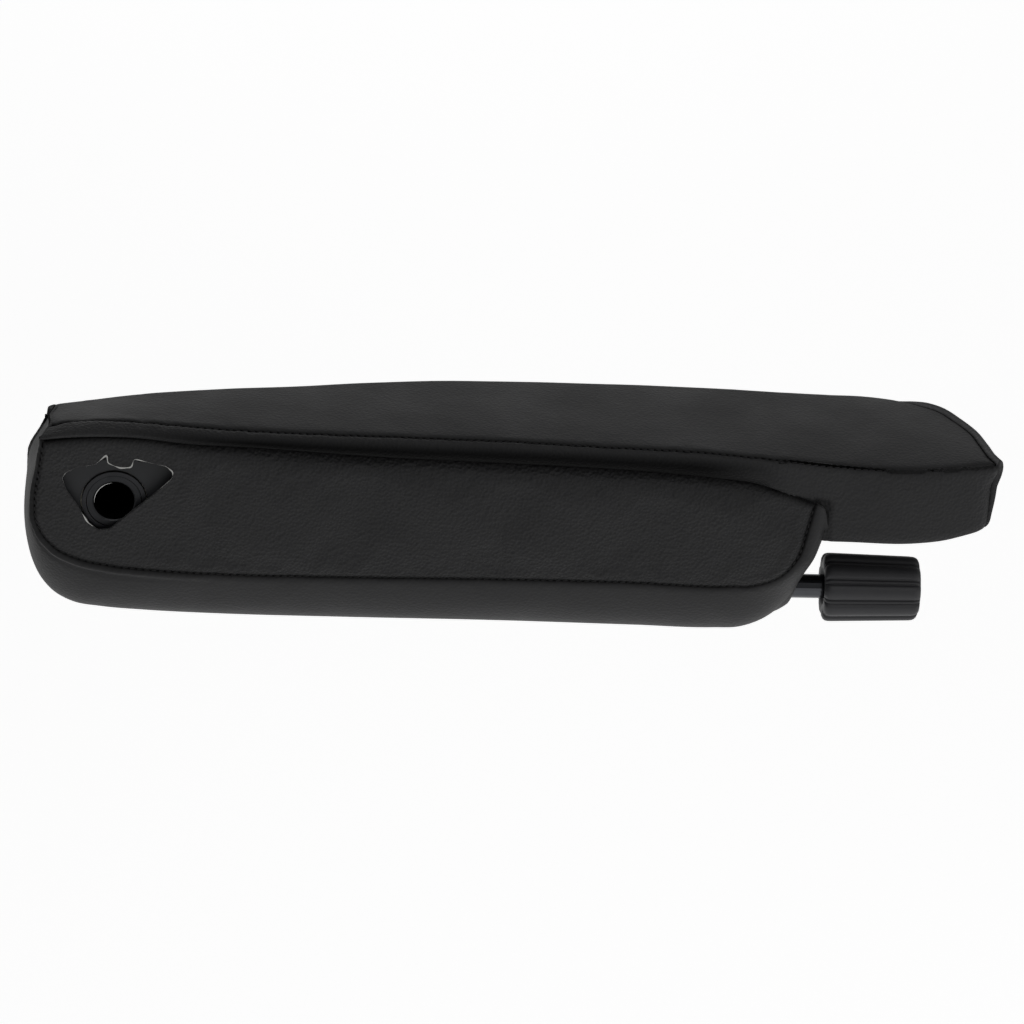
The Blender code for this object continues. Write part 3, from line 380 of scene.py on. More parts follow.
def triangles(outline, holes, spacing, rows):
    """Points and triangles over a flat outline: close rows along its edges, an even mesh between."""
    edge = np.vstack([outline] + holes)
    loops = []
    first = 0
    for loop in [outline] + holes:
        loops += [(first + i, first + (i + 1) % len(loop)) for i in range(len(loop))]
        first += len(loop)
    pool = []
    for k, loop in enumerate([outline] + holes):
        step = np.roll(loop, -1, axis=0) - np.roll(loop, 1, axis=0)
        normal = np.stack([-step[:, 1], step[:, 0]], 1)
        normal /= np.linalg.norm(normal, axis=1)[:, None]
        area = 0.5 * np.sum(loop[:, 0] * np.roll(loop[:, 1], -1) - np.roll(loop[:, 0], -1) * loop[:, 1])
        turn = math.copysign(1, area) * (1 if k == 0 else -1)
        for n, row in enumerate(rows):
            line = np.column_stack([loop + normal * turn * row, np.full(len(loop), row)])
            pool.append(line[:: 1 + n // 2])
    low, high = outline.min(0), outline.max(0)
    rise = spacing * math.sqrt(3) / 2
    deep = rows[-1] + spacing * 0.6
    for j, y in enumerate(np.arange(low[1], high[1], rise)):
        x = np.arange(low[0] + (j % 2) * spacing / 2, high[0], spacing)
        pool.append(np.column_stack([x, np.full(len(x), y), np.full(len(x), deep)]))
    pool = np.vstack(pool)
    keep = inside(pool, outline)
    for hole in holes:
        keep &= ~inside(pool, hole)
    pool = pool[keep]
    away = nearest(pool, edge)[0]
    pool = pool[away > pool[:, 2] * 0.93, :2]
    verts = np.vstack([edge, pool])
    made = geometry.delaunay_2d_cdt([Vector(v) for v in verts], loops, [], 1, 1e-5)
    points = np.array([tuple(v) for v in made[0]])
    faces = np.array([f for f in made[2] if len(f) == 3])
    middle = points[faces].mean(1)
    keep = inside(middle, outline)
    for hole in holes:
        keep &= ~inside(middle, hole)
    return points, faces[keep]


def membrane(points, faces, held, height, rounds=600):
    """Heights stretched evenly between the held points, like a tight skin."""
    height = height.copy()
    pairs = np.vstack([faces[:, [0, 1]], faces[:, [1, 2]], faces[:, [2, 0]]])
    pairs = np.vstack([pairs, pairs[:, ::-1]])
    count = np.bincount(pairs[:, 0], minlength=len(points)).clip(1)
    for _ in range(rounds):
        mean = np.bincount(pairs[:, 0], weights=height[pairs[:, 1]], minlength=len(points)) / count
        height = np.where(held, height, mean)
    return height


def seam_shape(distance, run, depth, pitch):
    """How far the cover is drawn in beside a seam: a rolled edge, pinched at each stitch."""
    roll = depth * np.exp(-((distance / 1.25) ** 1.4))
    stitch = 0.5 + 0.5 * np.cos(2 * np.pi * run / pitch)
    pinch = 0.30 * depth * stitch * np.exp(-((distance / 1.7) ** 2))
    pucker = np.sin(run / 2.1 + 1.3 * np.sin(run / 6.7)) * np.sin(run / 11.3 + 0.8)
    pucker = 0.16 * pucker * (distance / 2.2) * np.exp(-((distance / 2.8) ** 2) + 0.6)
    return roll + pinch + pucker


def even_seam_shape(distance, depth):
    """The same along a seam whose cover is stretched, with neither pinches nor puckers."""
    return 0.8 * depth * np.exp(-((distance / 1.25) ** 1.4))


def painted_seam_shade(distance):
    """Painted shade beside a seam, as shade falls into the groove: 1 in the groove."""
    return 0.92 * np.exp(-((distance / 0.75) ** 2)) + 0.12 * np.exp(-((distance / 2.5) ** 2))


# Meshes.


def set_attribute(mesh, name, values):
    layer = mesh.attributes.new(name, "FLOAT", "POINT")
    layer.data.foreach_set("value", np.asarray(values, np.float32))


def add_piece(name, points, faces, painted_shade, mat, body, outward=None):
    """A piece from points in millimetres, smooth shaded, that rides on a body."""
    mesh = bpy.data.meshes.new(name)
    mesh.from_pydata((np.asarray(points) * MM).tolist(), [], [list(map(int, f)) for f in faces])
    mesh.update()
    if outward is not None:
        normals = np.zeros(len(mesh.polygons) * 3)
        mesh.polygons.foreach_get("normal", normals)
        areas = np.zeros(len(mesh.polygons))
        mesh.polygons.foreach_get("area", areas)
        if (normals.reshape(-1, 3) * areas[:, None] @ np.array(outward, float)).sum() < 0:
            mesh.flip_normals()
    # The painted shade of the seams, creases and folds goes to the seam_depth attribute.
    if painted_shade is not None:
        set_attribute(mesh, "seam_depth", painted_shade)
    mesh.shade_smooth()
    mesh.materials.append(mat)
    obj = bpy.data.objects.new(name, mesh)
    bpy.context.scene.collection.objects.link(obj)
    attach(obj, body)
    return obj


def grid_faces(rows, columns):
    index = np.arange(rows * columns).reshape(rows, columns)
    quads = np.stack([index[:-1, :-1], index[1:, :-1], index[1:, 1:], index[:-1, 1:]], -1)
    return quads.reshape(-1, 4)


def settle(piece, held, cap, slack):
    """Lets a cover settle by cloth simulation, pressed out by its foam and held along its seams.

    A negative slack makes the cloth larger than its place, so it ripples. The result is kept, with
    no point further than the cap from where it was cut.
    """
    mesh = piece.data
    group = piece.vertex_groups.new(name="held")
    group.add([int(i) for i in np.flatnonzero(held)], 1.0, "REPLACE")
    cloth = piece.modifiers.new("settling", "CLOTH")
    cloth.settings.quality = 4
    cloth.settings.mass = 0.0002
    cloth.settings.vertex_group_mass = "held"
    cloth.settings.use_pressure = True
    cloth.settings.uniform_pressure_force = 4.0
    cloth.settings.shrink_min = slack
    cloth.settings.effector_weights.gravity = 0.0
    cloth.collision_settings.use_collision = False
    cloth.point_cache.frame_start = 1
    cloth.point_cache.frame_end = 20
    scene = bpy.context.scene
    for frame_number in range(1, 21):
        scene.frame_set(frame_number)
    graph = bpy.context.evaluated_depsgraph_get()
    made = piece.evaluated_get(graph).data
    before = np.empty(len(mesh.vertices) * 3)
    after = np.empty(len(mesh.vertices) * 3)
    mesh.vertices.foreach_get("co", before)
    made.vertices.foreach_get("co", after)
    piece.modifiers.clear()
    piece.vertex_groups.clear()
    scene.frame_set(1)
    move = (after - before).reshape(-1, 3)
    length = np.linalg.norm(move, axis=1)[:, None]
    move = move * np.tanh(length / cap) * cap / np.maximum(length, 1e-9)
    mesh.vertices.foreach_set("co", (before + move.reshape(-1)))
    mesh.update()


def thicken(obj, thickness):
    """Gives a cover its thickness, inward from its outer face, and keeps the result."""
    solid = obj.modifiers.new("cover thickness", "SOLIDIFY")
    solid.thickness = thickness
    solid.offset = -1.0
    apply_modifiers(obj)


def apply_modifiers(obj):
    graph = bpy.context.evaluated_depsgraph_get()
    shown = obj.evaluated_get(graph)
    made = bpy.data.meshes.new_from_object(shown, preserve_all_data_layers=True, depsgraph=graph)
    old = obj.data
    obj.modifiers.clear()
    obj.data = made
    bpy.data.meshes.remove(old)


# The pad's band, as one strip from the near rear corner round the tip to the far rear corner.

BAND_ROWS = 34
# Where each row of the band lies across it, closer together beside the seam.
BAND_ACROSS = np.linspace(0, 1, BAND_ROWS) ** 1.35
SEAM_STEP = 0.8


def band_strip():
    """(points of the strip, run along its seam, column of the tip) with the seam as the first row."""
    near = flow(NEAR_SEAM, SEAM_STEP)
    far = flow(FAR_SEAM, SEAM_STEP)[::-1]
    seam = np.vstack([near, far[1:]])
    tip = len(near) - 1
    run = travel(seam)
    along = np.gradient(seam[:, :2], axis=0)
    along /= np.linalg.norm(along, axis=1)[:, None]
    out = np.stack([along[:, 1], -along[:, 0]], 1)
    soft_out = blurred(out, 5)
    soft_out /= np.linalg.norm(soft_out, axis=1)[:, None]
    soft_seam = blurred(seam[:, :2], 7)
    x = seam[:, 0]
    is_near = np.arange(len(seam)) <= tip

    # Along the body: out to the panel's plane, bulging over it, and tucked in at the crease.
    reach = np.where(is_near, seam[:, 1] - NEAR_FACE_Y, FAR_FACE_Y - seam[:, 1])
    crease = np.where(is_near, read(NEAR_CREASE, x), read(FAR_CREASE, x))
    height = seam[:, 2] - crease
    bulge = np.where(is_near, 1.7 * ease(x, -25, 70) + 0.15, 1.4 * ease(x, -25, 30) + 0.1)
    tuck = np.where(is_near, crease_depth(x) + 0.2, 1.6)
    leaning = reach > 0
    share_out = np.array([0, 0.22, 0.50, 0.80, 0.97, 1.0, 1.0, 1.0])
    share_under = np.array([0, 0.0, 0.0, 0.06, 0.24, 0.52, 0.80, 1.0])
    swell = np.array([0, 0.50, 0.86, 1.0, 0.90, 0.55, 0.15, 0.0])
    fall_out = np.array([0, 0.09, 0.22, 0.40, 0.60, 0.78, 0.92, 1.0])
    fall_under = np.array([0, 0.09, 0.26, 0.50, 0.74, 0.89, 0.96, 1.0])
    blend = ease(reach, -3, 3)[:, None]
    share = share_out * blend + share_under * (1 - blend)
    fall = fall_out * blend + fall_under * (1 - blend)
    along_body = reach[:, None] * share + bulge[:, None] * swell
    along_body[:, 7] -= tuck
    along_body[:, 6] -= tuck * 0.62
    along_body[:, 5] -= tuck * 0.32
    along_body[:, 4] -= tuck * 0.10
    body_drop = height[:, None] * fall + np.array([0, 0, 0, 0, 0, 0, 0, 0.6])

    # Round the nose: a nearly upright face that turns under.
    floor = read(NOSE_FLOOR, x)
    nose_height = seam[:, 2] - floor
    face_out = np.array([0, 1.0, 1.6, 1.7, 1.5, 1.1, -0.6, -5.5])
    roll_out = np.array([0, 2.0, 4.0, 3.9, 2.9, 1.9, -0.6, -5.5])
    face_fall = np.array([0, 0.06, 0.22, 0.50, 0.76, 0.93, 0.995, 1.0])
    roll_fall = np.array([0, -0.035, 0.06, 0.46, 0.76, 0.93, 0.995, 1.0])
    # The band rolls out beyond the seam round the front, and hides behind the side panel's front edge.
    rolled = np.where(is_near, 0.0, ease(x, 318, 338))[:, None]
    nose_out = face_out * (1 - rolled) + roll_out * rolled
    shy = np.where(is_near, ease(x, 286, 322), 1.0)[:, None]
    nose_out = np.where(nose_out > 0, nose_out * shy, nose_out)
    nose_drop = nose_height[:, None] * (face_fall * (1 - rolled) + roll_fall * rolled)
    low = np.where(is_near, NOSE_BLEND_X[0], NOSE_BLEND_X[0] + 14)
    high = np.where(is_near, NOSE_BLEND_X[1], NOSE_BLEND_X[1] + 7)
    nose = ease(x, low, high)[:, None]
    offsets = along_body * (1 - nose) + nose_out * nose
    drops = body_drop * (1 - nose) + nose_drop * nose

    knots = np.array([0, 0.09, 0.24, 0.42, 0.60, 0.77, 0.90, 1.0])
    o = across(offsets, knots, BAND_ACROSS)
    d = across(drops, knots, BAND_ACROSS)
    rounding = ease(d, 1.5, 12)[..., None]
    plan = seam[:, None, :2] * (1 - rounding) + soft_seam[:, None, :] * rounding
    direction = out[:, None, :] * (1 - rounding) + soft_out[:, None, :] * rounding
    direction /= np.linalg.norm(direction, axis=2)[..., None]
    flat = plan + direction * o[..., None]
    strip = np.dstack([flat, seam[:, None, 2] - d])

    # The rear end of the strip follows the rear edge of the armrest.
    follow = long_edge(REAR_EDGE, 1, strip[..., 1]) - long_edge(REAR_EDGE, 1, seam[:, 1])[:, None]
    strip[..., 0] += follow * (1 - ease(x, -27, 8))[:, None]

    # Behind the near panel, and behind the front of the body, the strip keeps inside the panel's plane.
    level = np.where(x < BODY_FRONT_X, crease, 7.0)[:, None]
    under = 1 - ease(strip[..., 2], level - 0.6, level + 1.2)
    recess = np.maximum(2.0, crease_depth(x) + 0.3)[:, None] + 1.6 * ease(x, 272, 286)[:, None]
    recess = recess * (1 - ease(x, 289, 297))[:, None] * is_near[:, None] * under
    inner = np.maximum(strip[..., 1], NEAR_FACE_Y + recess)
    strip[..., 1] = np.where(recess > 0.05, inner, strip[..., 1])
    return strip, run, tip


def across(values, knots, at):
    """Smooth curves through each row of values, read at fractions of the way across."""
    slopes = np.gradient(values, knots, axis=1)
    i = np.clip(np.searchsorted(knots, at, side="right") - 1, 0, len(knots) - 2)
    width = knots[i + 1] - knots[i]
    t = (at - knots[i]) / width
    rise = values[:, i + 1] - values[:, i]
    start = slopes[:, i] * width
    end = slopes[:, i + 1] * width
    return values[:, i] + start * t + (3 * rise - 2 * start - end) * t**2 + (start + end - 2 * rise) * t**3


def grid_normals(strip):
    """Unit normals of a grid of points."""
    u = np.gradient(strip, axis=0)
    v = np.gradient(strip, axis=1)
    n = np.cross(u, v)
    return n / np.linalg.norm(n, axis=2)[..., None].clip(1e-9)


def row_distance(strip):
    """Distance of each point of a grid from its first row, along the columns."""
    steps = np.linalg.norm(np.diff(strip, axis=1), axis=2)
    return np.concatenate([np.zeros((len(strip), 1)), np.cumsum(steps, axis=1)], 1)


# The strip sewn round the body.

RIM_ROWS = 60


def side_seam():
    return flow(SIDE_SEAM, SEAM_STEP)


def rim_strip():
    """(points of the strip, run along its seam): near seam as the first row, far seam as the last."""
    seam = side_seam()
    crest = spaced(flow(RIM_CREST, SEAM_STEP), 1, len(seam) - 1)
    even = np.linspace(0, 1, RIM_ROWS)
    t = 0.5 * even + 0.5 * (0.5 - 0.5 * np.cos(np.pi * even))
    # Round the front the strip leaves the seam square-shouldered, and elsewhere in an even curve.
    square = (ease(seam[:, 0], 262, 282) * ease(seam[:, 1], -30, -14))[:, None]
    lift = (np.sin(np.pi * t)[None, :] ** (1 - 0.45 * square))[..., None]
    flat = seam[:, None, :] * (1 - lift) + crest[:, None, :] * lift
    even_share = 0.40 * (1 - square)
    across_body = even_share * t + (1 - even_share) * (0.5 - 0.5 * np.cos(np.pi * t))
    y = NEAR_FACE_Y + (FAR_FACE_Y - NEAR_FACE_Y) * across_body
    strip = np.dstack([flat[..., 0], y, flat[..., 1]])

    # The rear end follows the top panel's rear edge, and the front end passes under the pad.
    end_x = long_edge(REAR_EDGE, 1, y[0])
    top = long_edge(REAR_EDGE, 2, y[0])
    base = 4.0
    z = strip[..., 2]
    share = np.clip((z - base) / (REAR_TOP_Z - base), 0, 1) * (seam[:, None, 0] < 0)
    strip[..., 2] = np.where(share > 0, base + (top[None, :] - base) * share, z)
    lean = 4.6 * ease(strip[..., 2], 2, 20) * t[None, :] ** 1.5
    strip[..., 0] += np.where(seam[:, None, 0] < 0, lean, 0.0)
    toward = share**3
    strip[..., 0] = strip[..., 0] * (1 - toward) + end_x[None, :] * toward
    front = np.clip((seam[:, None, 1] + 14) / 20, 0, 1) * (seam[:, None, 0] > 200)
    ceiling = -9.4 + 16.0 * (1 - ease(np.minimum(t, 1 - t), 0.0, 0.24))
    strip[..., 2] = np.where(front > 0, np.minimum(strip[..., 2], ceiling[None, :]), strip[..., 2])
    return strip, travel(seam)


# Covers.


def crease_depth(x):
    """How deep the fold between pad and body is: a sewn line at the rear, a groove further forward."""
    return 0.9 + 4.1 * ease(x, -5, 75) - 4.3 * ease(x, 252, 284)


def pad_parts(sizes):
    """The pad's strip with its seam drawn in, the column of its tip, its painted shade and the painted
    highlight on its roll.
    """
    strip, run, tip = band_strip()
    n = grid_normals(strip)
    if n[tip // 2, BAND_ROWS // 3, 1] > 0:
        n = -n
    distance = row_distance(strip)
    wide_run = np.broadcast_to(run[:, None], distance.shape)
    shape = seam_shape(distance, wide_run, sizes.seam_depth / MM, sizes.stitch_pitch / MM)
    shape[tip:] = even_seam_shape(distance[tip:], sizes.seam_depth / MM)
    slack = 0.30 * np.sin(wide_run / 23 + 1.1) * np.sin(wide_run / 9.7)
    slack *= np.exp(-(((distance - 7) / 6) ** 2))
    # The seam itself sinks straight into the pad, so both panels reach the same line.
    sink = np.array([0.0, 0.0, -1.0])
    direction = n * ease(distance, 0, 1.2)[..., None] * -1 + sink * (1 - ease(distance, 0, 1.2))[..., None]
    strip = strip + direction * shape[..., None] + n * slack[..., None]
    # Painted shade, growing down towards the crease, where the band leans in under its own swell.
    x = strip[:, :1, 0]
    along_body = ease(x, -20, 60) * (1 - ease(x, 235, BODY_FRONT_X))
    fold = 0.93 * ease(BAND_ACROSS[None, :], 0.03, 0.55) * along_body
    fold = fold * (np.arange(len(strip)) <= tip)[:, None]
    # Painted shade in the seam's groove, lighter towards the near side's front, and on the far side only right
    # in the groove.
    painted_shade = painted_seam_shade(distance)
    painted_shade[:tip] *= 1 - 0.35 * ease(x[:tip], 305, 325)
    painted_shade[tip:] *= np.where(distance[tip:] < 0.3, 1.0, 0.1)
    # A painted highlight on the crest of the roll round the front, in two lines with a fold between them.
    painted_roll_highlight = np.exp(-(((distance - 1.2) / 0.75) ** 2)) + 0.55 * np.exp(-(((distance - 3.3) / 0.6) ** 2))
    painted_roll_highlight = painted_roll_highlight * ease(x, 318, 336) * (np.arange(len(strip)) > tip)[:, None]
    return strip, tip, np.maximum(painted_shade, fold), painted_roll_highlight


def top_cover(sizes, strip, tip, rear):
    """Points, triangles and painted seam shade of the top panel, inside the seam that the strip follows."""
    seam = strip[:, 0]
    start = rear[::-1]
    loop = np.vstack([seam, start[1:-1]])
    points, faces = triangles(loop[:, :2], [], 2.0, (0.45, 1.0, 1.8, 2.9))
    held = np.arange(len(points)) < len(loop)
    z = np.zeros(len(points))
    z[: len(loop)] = loop[:, 2]
    near_z = long_edge(NEAR_SEAM, 2, points[:, 0])
    far_z = long_edge(FAR_LONG_EDGE, 2, points[:, 0])
    near_y = long_edge(NEAR_SEAM, 1, points[:, 0])
    across_pad = np.clip((points[:, 1] - near_y) / 65.0, 0, 1)
    z[~held] = (near_z + (far_z - near_z) * across_pad)[~held]
    depth = sizes.seam_depth / MM
    level = z.copy()
    level[: len(seam)] += depth * 1.3
    level = membrane(points, faces, held, level)
    closed = np.vstack([loop, loop[:1]])
    away, at = nearest(points, closed[:, :2])
    shape = seam_shape(away, at, depth, sizes.stitch_pitch / MM)
    shape = np.where(at > travel(closed)[tip], even_seam_shape(away, depth), shape)
    crown = sizes.pad_crown / MM * (1 - np.exp(-((away / 16) ** 1.5)))
    level = level - shape + crown
    level[held] = z[held]
    # The painted shade lies along the seams.
    return np.column_stack([points, level]), faces, painted_seam_shade(away)


def side_cover(sizes, is_near):
    """Points, triangles, painted shade of a side panel with its opening, and the opening's edge."""
    seam = side_seam()
    crease_points = NEAR_CREASE if is_near else FAR_CREASE
    top = flow(crease_points, SEAM_STEP)
    if not is_near:
        seam = seam[seam[:, 1] <= 20.0]
        seam[:, 0] += np.where(seam[:, 0] < 0, 4.6 * ease(seam[:, 1], 2, 20), 0.0)
        seam[0] = top[0]
        seam = np.vstack([seam[seam[:, 1] < 5.0 + (seam[:, 0] < 200) * 20], top[-1:]])
    else:
        seam = np.vstack([seam[:-1], top[-1:]])
    loop = np.vstack([seam, top[::-1][1:-1]])
    if is_near:
        hole = closed_outline(CUT_OUT, 0.55, 0.9)
    else:
        angle = np.linspace(0, 2 * np.pi, 120, endpoint=False)
        hole = HUB_HOLE_RADIUS * np.column_stack([np.cos(angle), np.sin(angle)])
    points, faces = triangles(loop, [hole], 2.0, (0.45, 1.0, 1.8, 2.9))
    away, at = nearest(points, seam)
    under, _ = nearest(points, top)
    opening, at_hole = nearest(points, np.vstack([hole, hole[:1]]))
    depth = sizes.seam_depth / MM
    inward = seam_shape(away, at, depth, sizes.stitch_pitch / MM)
    fold = crease_depth(points[:, 0]) if is_near else np.full(len(points), 1.4)
    inward = np.maximum(inward, fold * np.exp(-((under / (0.9 + 0.85 * fold)) ** 1.5)))
    edge = np.minimum(np.minimum(away, under), 40.0)
    crown = sizes.side_crown / MM * (1 - np.exp(-((edge / 9) ** 1.5)))
    # The panel lies slack over the plate round its opening.
    crown = crown * (1 - 0.5 * np.exp(-((opening / 8) ** 2)))
    slack = 0.22 * np.sin(at_hole / 4.3 + 0.6) * np.exp(-opening / 4) * (opening < 20)
    x, z = points[:, 0], points[:, 1]
    long_wave = 0.42 * np.sin(x / 21 + 0.8) * np.sin(z / 9 + x / 60)
    short_wave = 0.25 * np.sin(x / 9.5 + z / 14) * np.sin(z / 7.3 + 1.2)
    wave = (long_wave + short_wave) * (1 - np.exp(-((edge / 7) ** 2)))
    out = crown + slack + wave - inward
    y = NEAR_FACE_Y - out if is_near else FAR_FACE_Y + out
    # Painted shade along the seam, and darker still along the crease under the pad's band.
    painted_shade = np.maximum(painted_seam_shade(away), 0.85 * np.exp(-((under / 1.6) ** 2)))
    verts = np.column_stack([points[:, 0], y, points[:, 1]])
    return verts, faces, painted_shade, verts[len(loop) : len(loop) + len(hole)]


def rim_cover(sizes):
    """Points and painted shade of the strip round the body, opened for the shaft, and which faces to keep."""
    strip, run = rim_strip()
    depth = sizes.seam_depth / MM
    pitch = sizes.stitch_pitch / MM
    n = grid_normals(strip)
    middle = RIM_ROWS // 2
    if n[len(strip) // 2, middle, 2] > 0:
        n = -n
    near = row_distance(strip)
    far = row_distance(strip[:, ::-1])[:, ::-1]
    wide_run = np.broadcast_to(run[:, None], near.shape)
    # Painted shade along both seams of the strip.
    painted_shade = np.maximum(painted_seam_shade(near), painted_seam_shade(far))
    # Round the rear end the strip gets painted shade, so it is no paler than the side panels.
    painted_shade = np.maximum(painted_shade, 0.45 * (1 - ease(wide_run, 30, 75)))
    inward = np.maximum(seam_shape(near, wide_run, depth, pitch), seam_shape(far, wide_run, depth, pitch))
    # A turned seam allowance pads the strip's first few millimetres round the rear and its corner.
    rear = 1 - ease(run, 70, 130)
    for distance in (near, far):
        roll = 0.85 * np.exp(-(((distance - 2.0) / 1.2) ** 2))
        ridge = 0.42 * np.exp(-(((distance - 4.4) / 1.1) ** 2)) * (0.45 + 0.55 * ease(run, 20, 48))[:, None]
        inward -= (roll - ridge) * rear[:, None]
    soft = 0.35 * np.sin(wide_run / 17 + 0.4) * np.sin(wide_run / 41 + 2.0)
    soft *= np.exp(-(((near - 12) / 8) ** 2))
    strip = strip - n * (inward - soft)[..., None]
    keep, strip = open_for_shaft(strip)
    return strip, painted_shade, keep


def open_for_shaft(strip):
    """Spreads the strip round the tilt shaft and turns its edge in; returns the faces to keep."""
    y = strip[..., 1] - KNOB_AXIS[0]
    z = strip[..., 2] - KNOB_AXIS[1]
    r = np.hypot(y, z)
    is_front = strip[..., 0] > 250
    inner, outer = 1.6, 11.0
    close = is_front & (r < outer)
    stretch = (outer - SHAFT_HOLE_RADIUS) / (outer - inner)
    spread = SHAFT_HOLE_RADIUS + (np.maximum(r, inner) - inner) * stretch
    scale = np.where(close, spread / np.maximum(r, 1e-6), 1.0)
    moved = strip.copy()
    moved[..., 1] = KNOB_AXIS[0] + y * scale
    moved[..., 2] = KNOB_AXIS[1] + z * scale
    edge = np.where(close, np.exp(-((spread - SHAFT_HOLE_RADIUS) / 0.9) ** 2), 0)
    moved[..., 0] -= 1.4 * edge
    corner = (is_front & (r < inner)).astype(int)
    count = corner[:-1, :-1] + corner[1:, :-1] + corner[1:, 1:] + corner[:-1, 1:]
    return (count < 1).reshape(-1), moved


def underside_cover(strip):
    """Points and triangles under the pad's nose, inside the strip's last row."""
    last = strip[:, -1]
    loop = last[(last[:, 0] > 284) & (last[:, 2] < 4)]
    points, faces = triangles(loop[:, :2], [], 3.0, (0.8, 1.8))
    held = np.arange(len(points)) < len(loop)
    z = np.full(len(points), -10.6)
    z[: len(loop)] = loop[:, 2]
    z = membrane(points, faces, held, z, 1500)
    return np.column_stack([points, z]), faces


# Stitches and edges.


def capsule(length, radius, sides=8, steps=3):
    """Points and faces of a short round-ended thread along +X."""
    rings = []
    half = length / 2 - radius
    for k in range(steps):
        a = math.pi / 2 * (1 - k / steps)
        rings.append((-half - radius * math.sin(a), radius * max(math.cos(a), 0.12)))
    for k in range(steps, -1, -1):
        a = math.pi / 2 * (1 - k / steps)
        rings.append((half + radius * math.sin(a), radius * max(math.cos(a), 0.12)))
    turn = np.linspace(0, 2 * np.pi, sides, endpoint=False)
    points = np.array([[x, r * math.cos(t), r * math.sin(t)] for x, r in rings for t in turn])
    faces = []
    for i in range(len(rings) - 1):
        for j in range(sides):
            k = (j + 1) % sides
            faces.append((i * sides + j, (i + 1) * sides + j, (i + 1) * sides + k, i * sides + k))
    faces.append(tuple(range(sides)))
    faces.append(tuple(range((len(rings) - 1) * sides, len(rings) * sides))[::-1])
    return points, faces


def stitches(line, up, pitch, length, radius):
    """One short thread for each stitch along a line, lying on its groove."""
    run = travel(line)
    shape, shape_faces = capsule(length, radius)
    points, faces = [], []
    for i, at in enumerate(np.arange(pitch, run[-1] - pitch, pitch)):
        here = np.array([np.interp(at, run, line[:, k]) for k in range(3)])
        ahead = np.array([np.interp(at + 0.6, run, line[:, k]) for k in range(3)])
        lift = np.array([np.interp(at, run, up[:, k]) for k in range(3)])
        along = (ahead - here) / np.linalg.norm(ahead - here)
        side = np.cross(lift, along)
        side /= np.linalg.norm(side)
        over = np.cross(along, side)
        # Each stitch leans a little across the seam, as a lockstitch does.
        lean = math.radians(7 + 3 * math.sin(i * 1.7))
        leaning = along * math.cos(lean) + side * math.sin(lean)
        side = side * math.cos(lean) - along * math.sin(lean)
        faces += [tuple(len(points) * len(shape) + v for v in f) for f in shape_faces]
        points.append(here + lift * radius * 0.6 + shape @ np.array([leaning, side, over]))
    return np.vstack(points), faces


def bead(line, radii, sides=7):
    """A thin tube along a closed line whose radius varies."""
    count = len(line)
    along = np.roll(line, -1, axis=0) - np.roll(line, 1, axis=0)
    along /= np.linalg.norm(along, axis=1)[:, None]
    up = np.array([0.0, -1.0, 0.0])
    side = np.cross(along, up)
    side /= np.linalg.norm(side, axis=1)[:, None]
    over = np.cross(side, along)
    turn = np.linspace(0, 2 * np.pi, sides, endpoint=False)
    ring = side[:, None, :] * np.cos(turn)[:, None] + over[:, None, :] * np.sin(turn)[:, None]
    points = (line[:, None, :] + ring * radii[:, None, None]).reshape(-1, 3)
    index = np.arange(count * sides).reshape(count, sides)
    nxt = np.roll(index, -1, axis=0)
    faces = np.stack([index, nxt, np.roll(nxt, -1, axis=1), np.roll(index, -1, axis=1)], -1)
    return points, faces.reshape(-1, 4)


# Knob.


def knob_shape(rear, front, radii, lobes, groove):
    """A fluted, slightly tapered grip: wide rounded lobes with a thin rib in each valley between."""
    sides = lobes * 26
    turn = np.linspace(0, 2 * np.pi, sides, endpoint=False)
    first_lobe = math.radians(6.5)
    from_lobe = np.abs(((turn - first_lobe) * lobes / (2 * np.pi) + 0.5) % 1.0 - 0.5)
    crown = 0.65 * (np.minimum(from_lobe, 0.33) / 0.33) ** 2.2
    valley = 0.35 * ease(from_lobe, 0.33, 0.40)
    cut = 0.70 * np.exp(-(((from_lobe - 0.385) / 0.04) ** 2))
    section = crown + valley + cut
    # Stations along the grip: (x, how far in from the full radius, how deep its flutes are).
    rear_end = [
        (rear + 1.6, 7.6, 0.0), (rear + 0.5, 7.0, 0.0), (rear + 0.15, 6.2, 0.05), (rear, 4.8, 0.35),
        (rear + 0.02, 3.4, 0.75), (rear + 0.25, 2.0, 1.0), (rear + 0.75, 1.0, 1.0), (rear + 1.5, 0.38, 1.0),
        (rear + 2.5, 0.08, 1.0), (rear + 3.6, 0.0, 1.0),
    ]
    grip = [(x, 0.0, 1.0) for x in np.linspace(rear + 7, front - 7, 10)]
    front_end = [
        (front - 3.6, 0.0, 1.0), (front - 2.4, 0.12, 1.0), (front - 1.4, 0.5, 0.95), (front - 0.7, 1.15, 0.8),
        (front - 0.25, 2.1, 0.55), (front - 0.05, 3.4, 0.25), (front, 5.0, 0.05), (front, 8.0, 0.0),
        (front - 0.05, 10.5, 0.0),
    ]
    stations = rear_end + grip + front_end
    rings = []
    for x, inset, flute in stations:
        body = radii[0] + (radii[1] - radii[0]) * (x - rear) / (front - rear)
        r = body - inset - groove * section * flute
        rings.append(np.column_stack([np.full(sides, x), r * np.cos(turn), r * np.sin(turn)]))
    points = np.vstack(rings) + np.array([0, KNOB_AXIS[0], KNOB_AXIS[1]])
    index = np.arange(len(rings) * sides).reshape(len(rings), sides)
    quads = np.stack([index[:-1], index[1:], np.roll(index[1:], -1, 1), np.roll(index[:-1], -1, 1)], -1)
    faces = [tuple(f) for f in quads.reshape(-1, 4)]
    faces.append(tuple(index[0]))
    faces.append(tuple(index[-1][::-1]))
    return points, faces


# Settings a user would change.


def length(name, size_mm, description):
    return FloatProperty(name=name, description=description, default=size_mm * MM, unit="LENGTH")


def colour(name, code, description):
    return FloatVectorProperty(
        name=name, description=description, subtype="COLOR", default=linear(code), min=0, max=1
    )


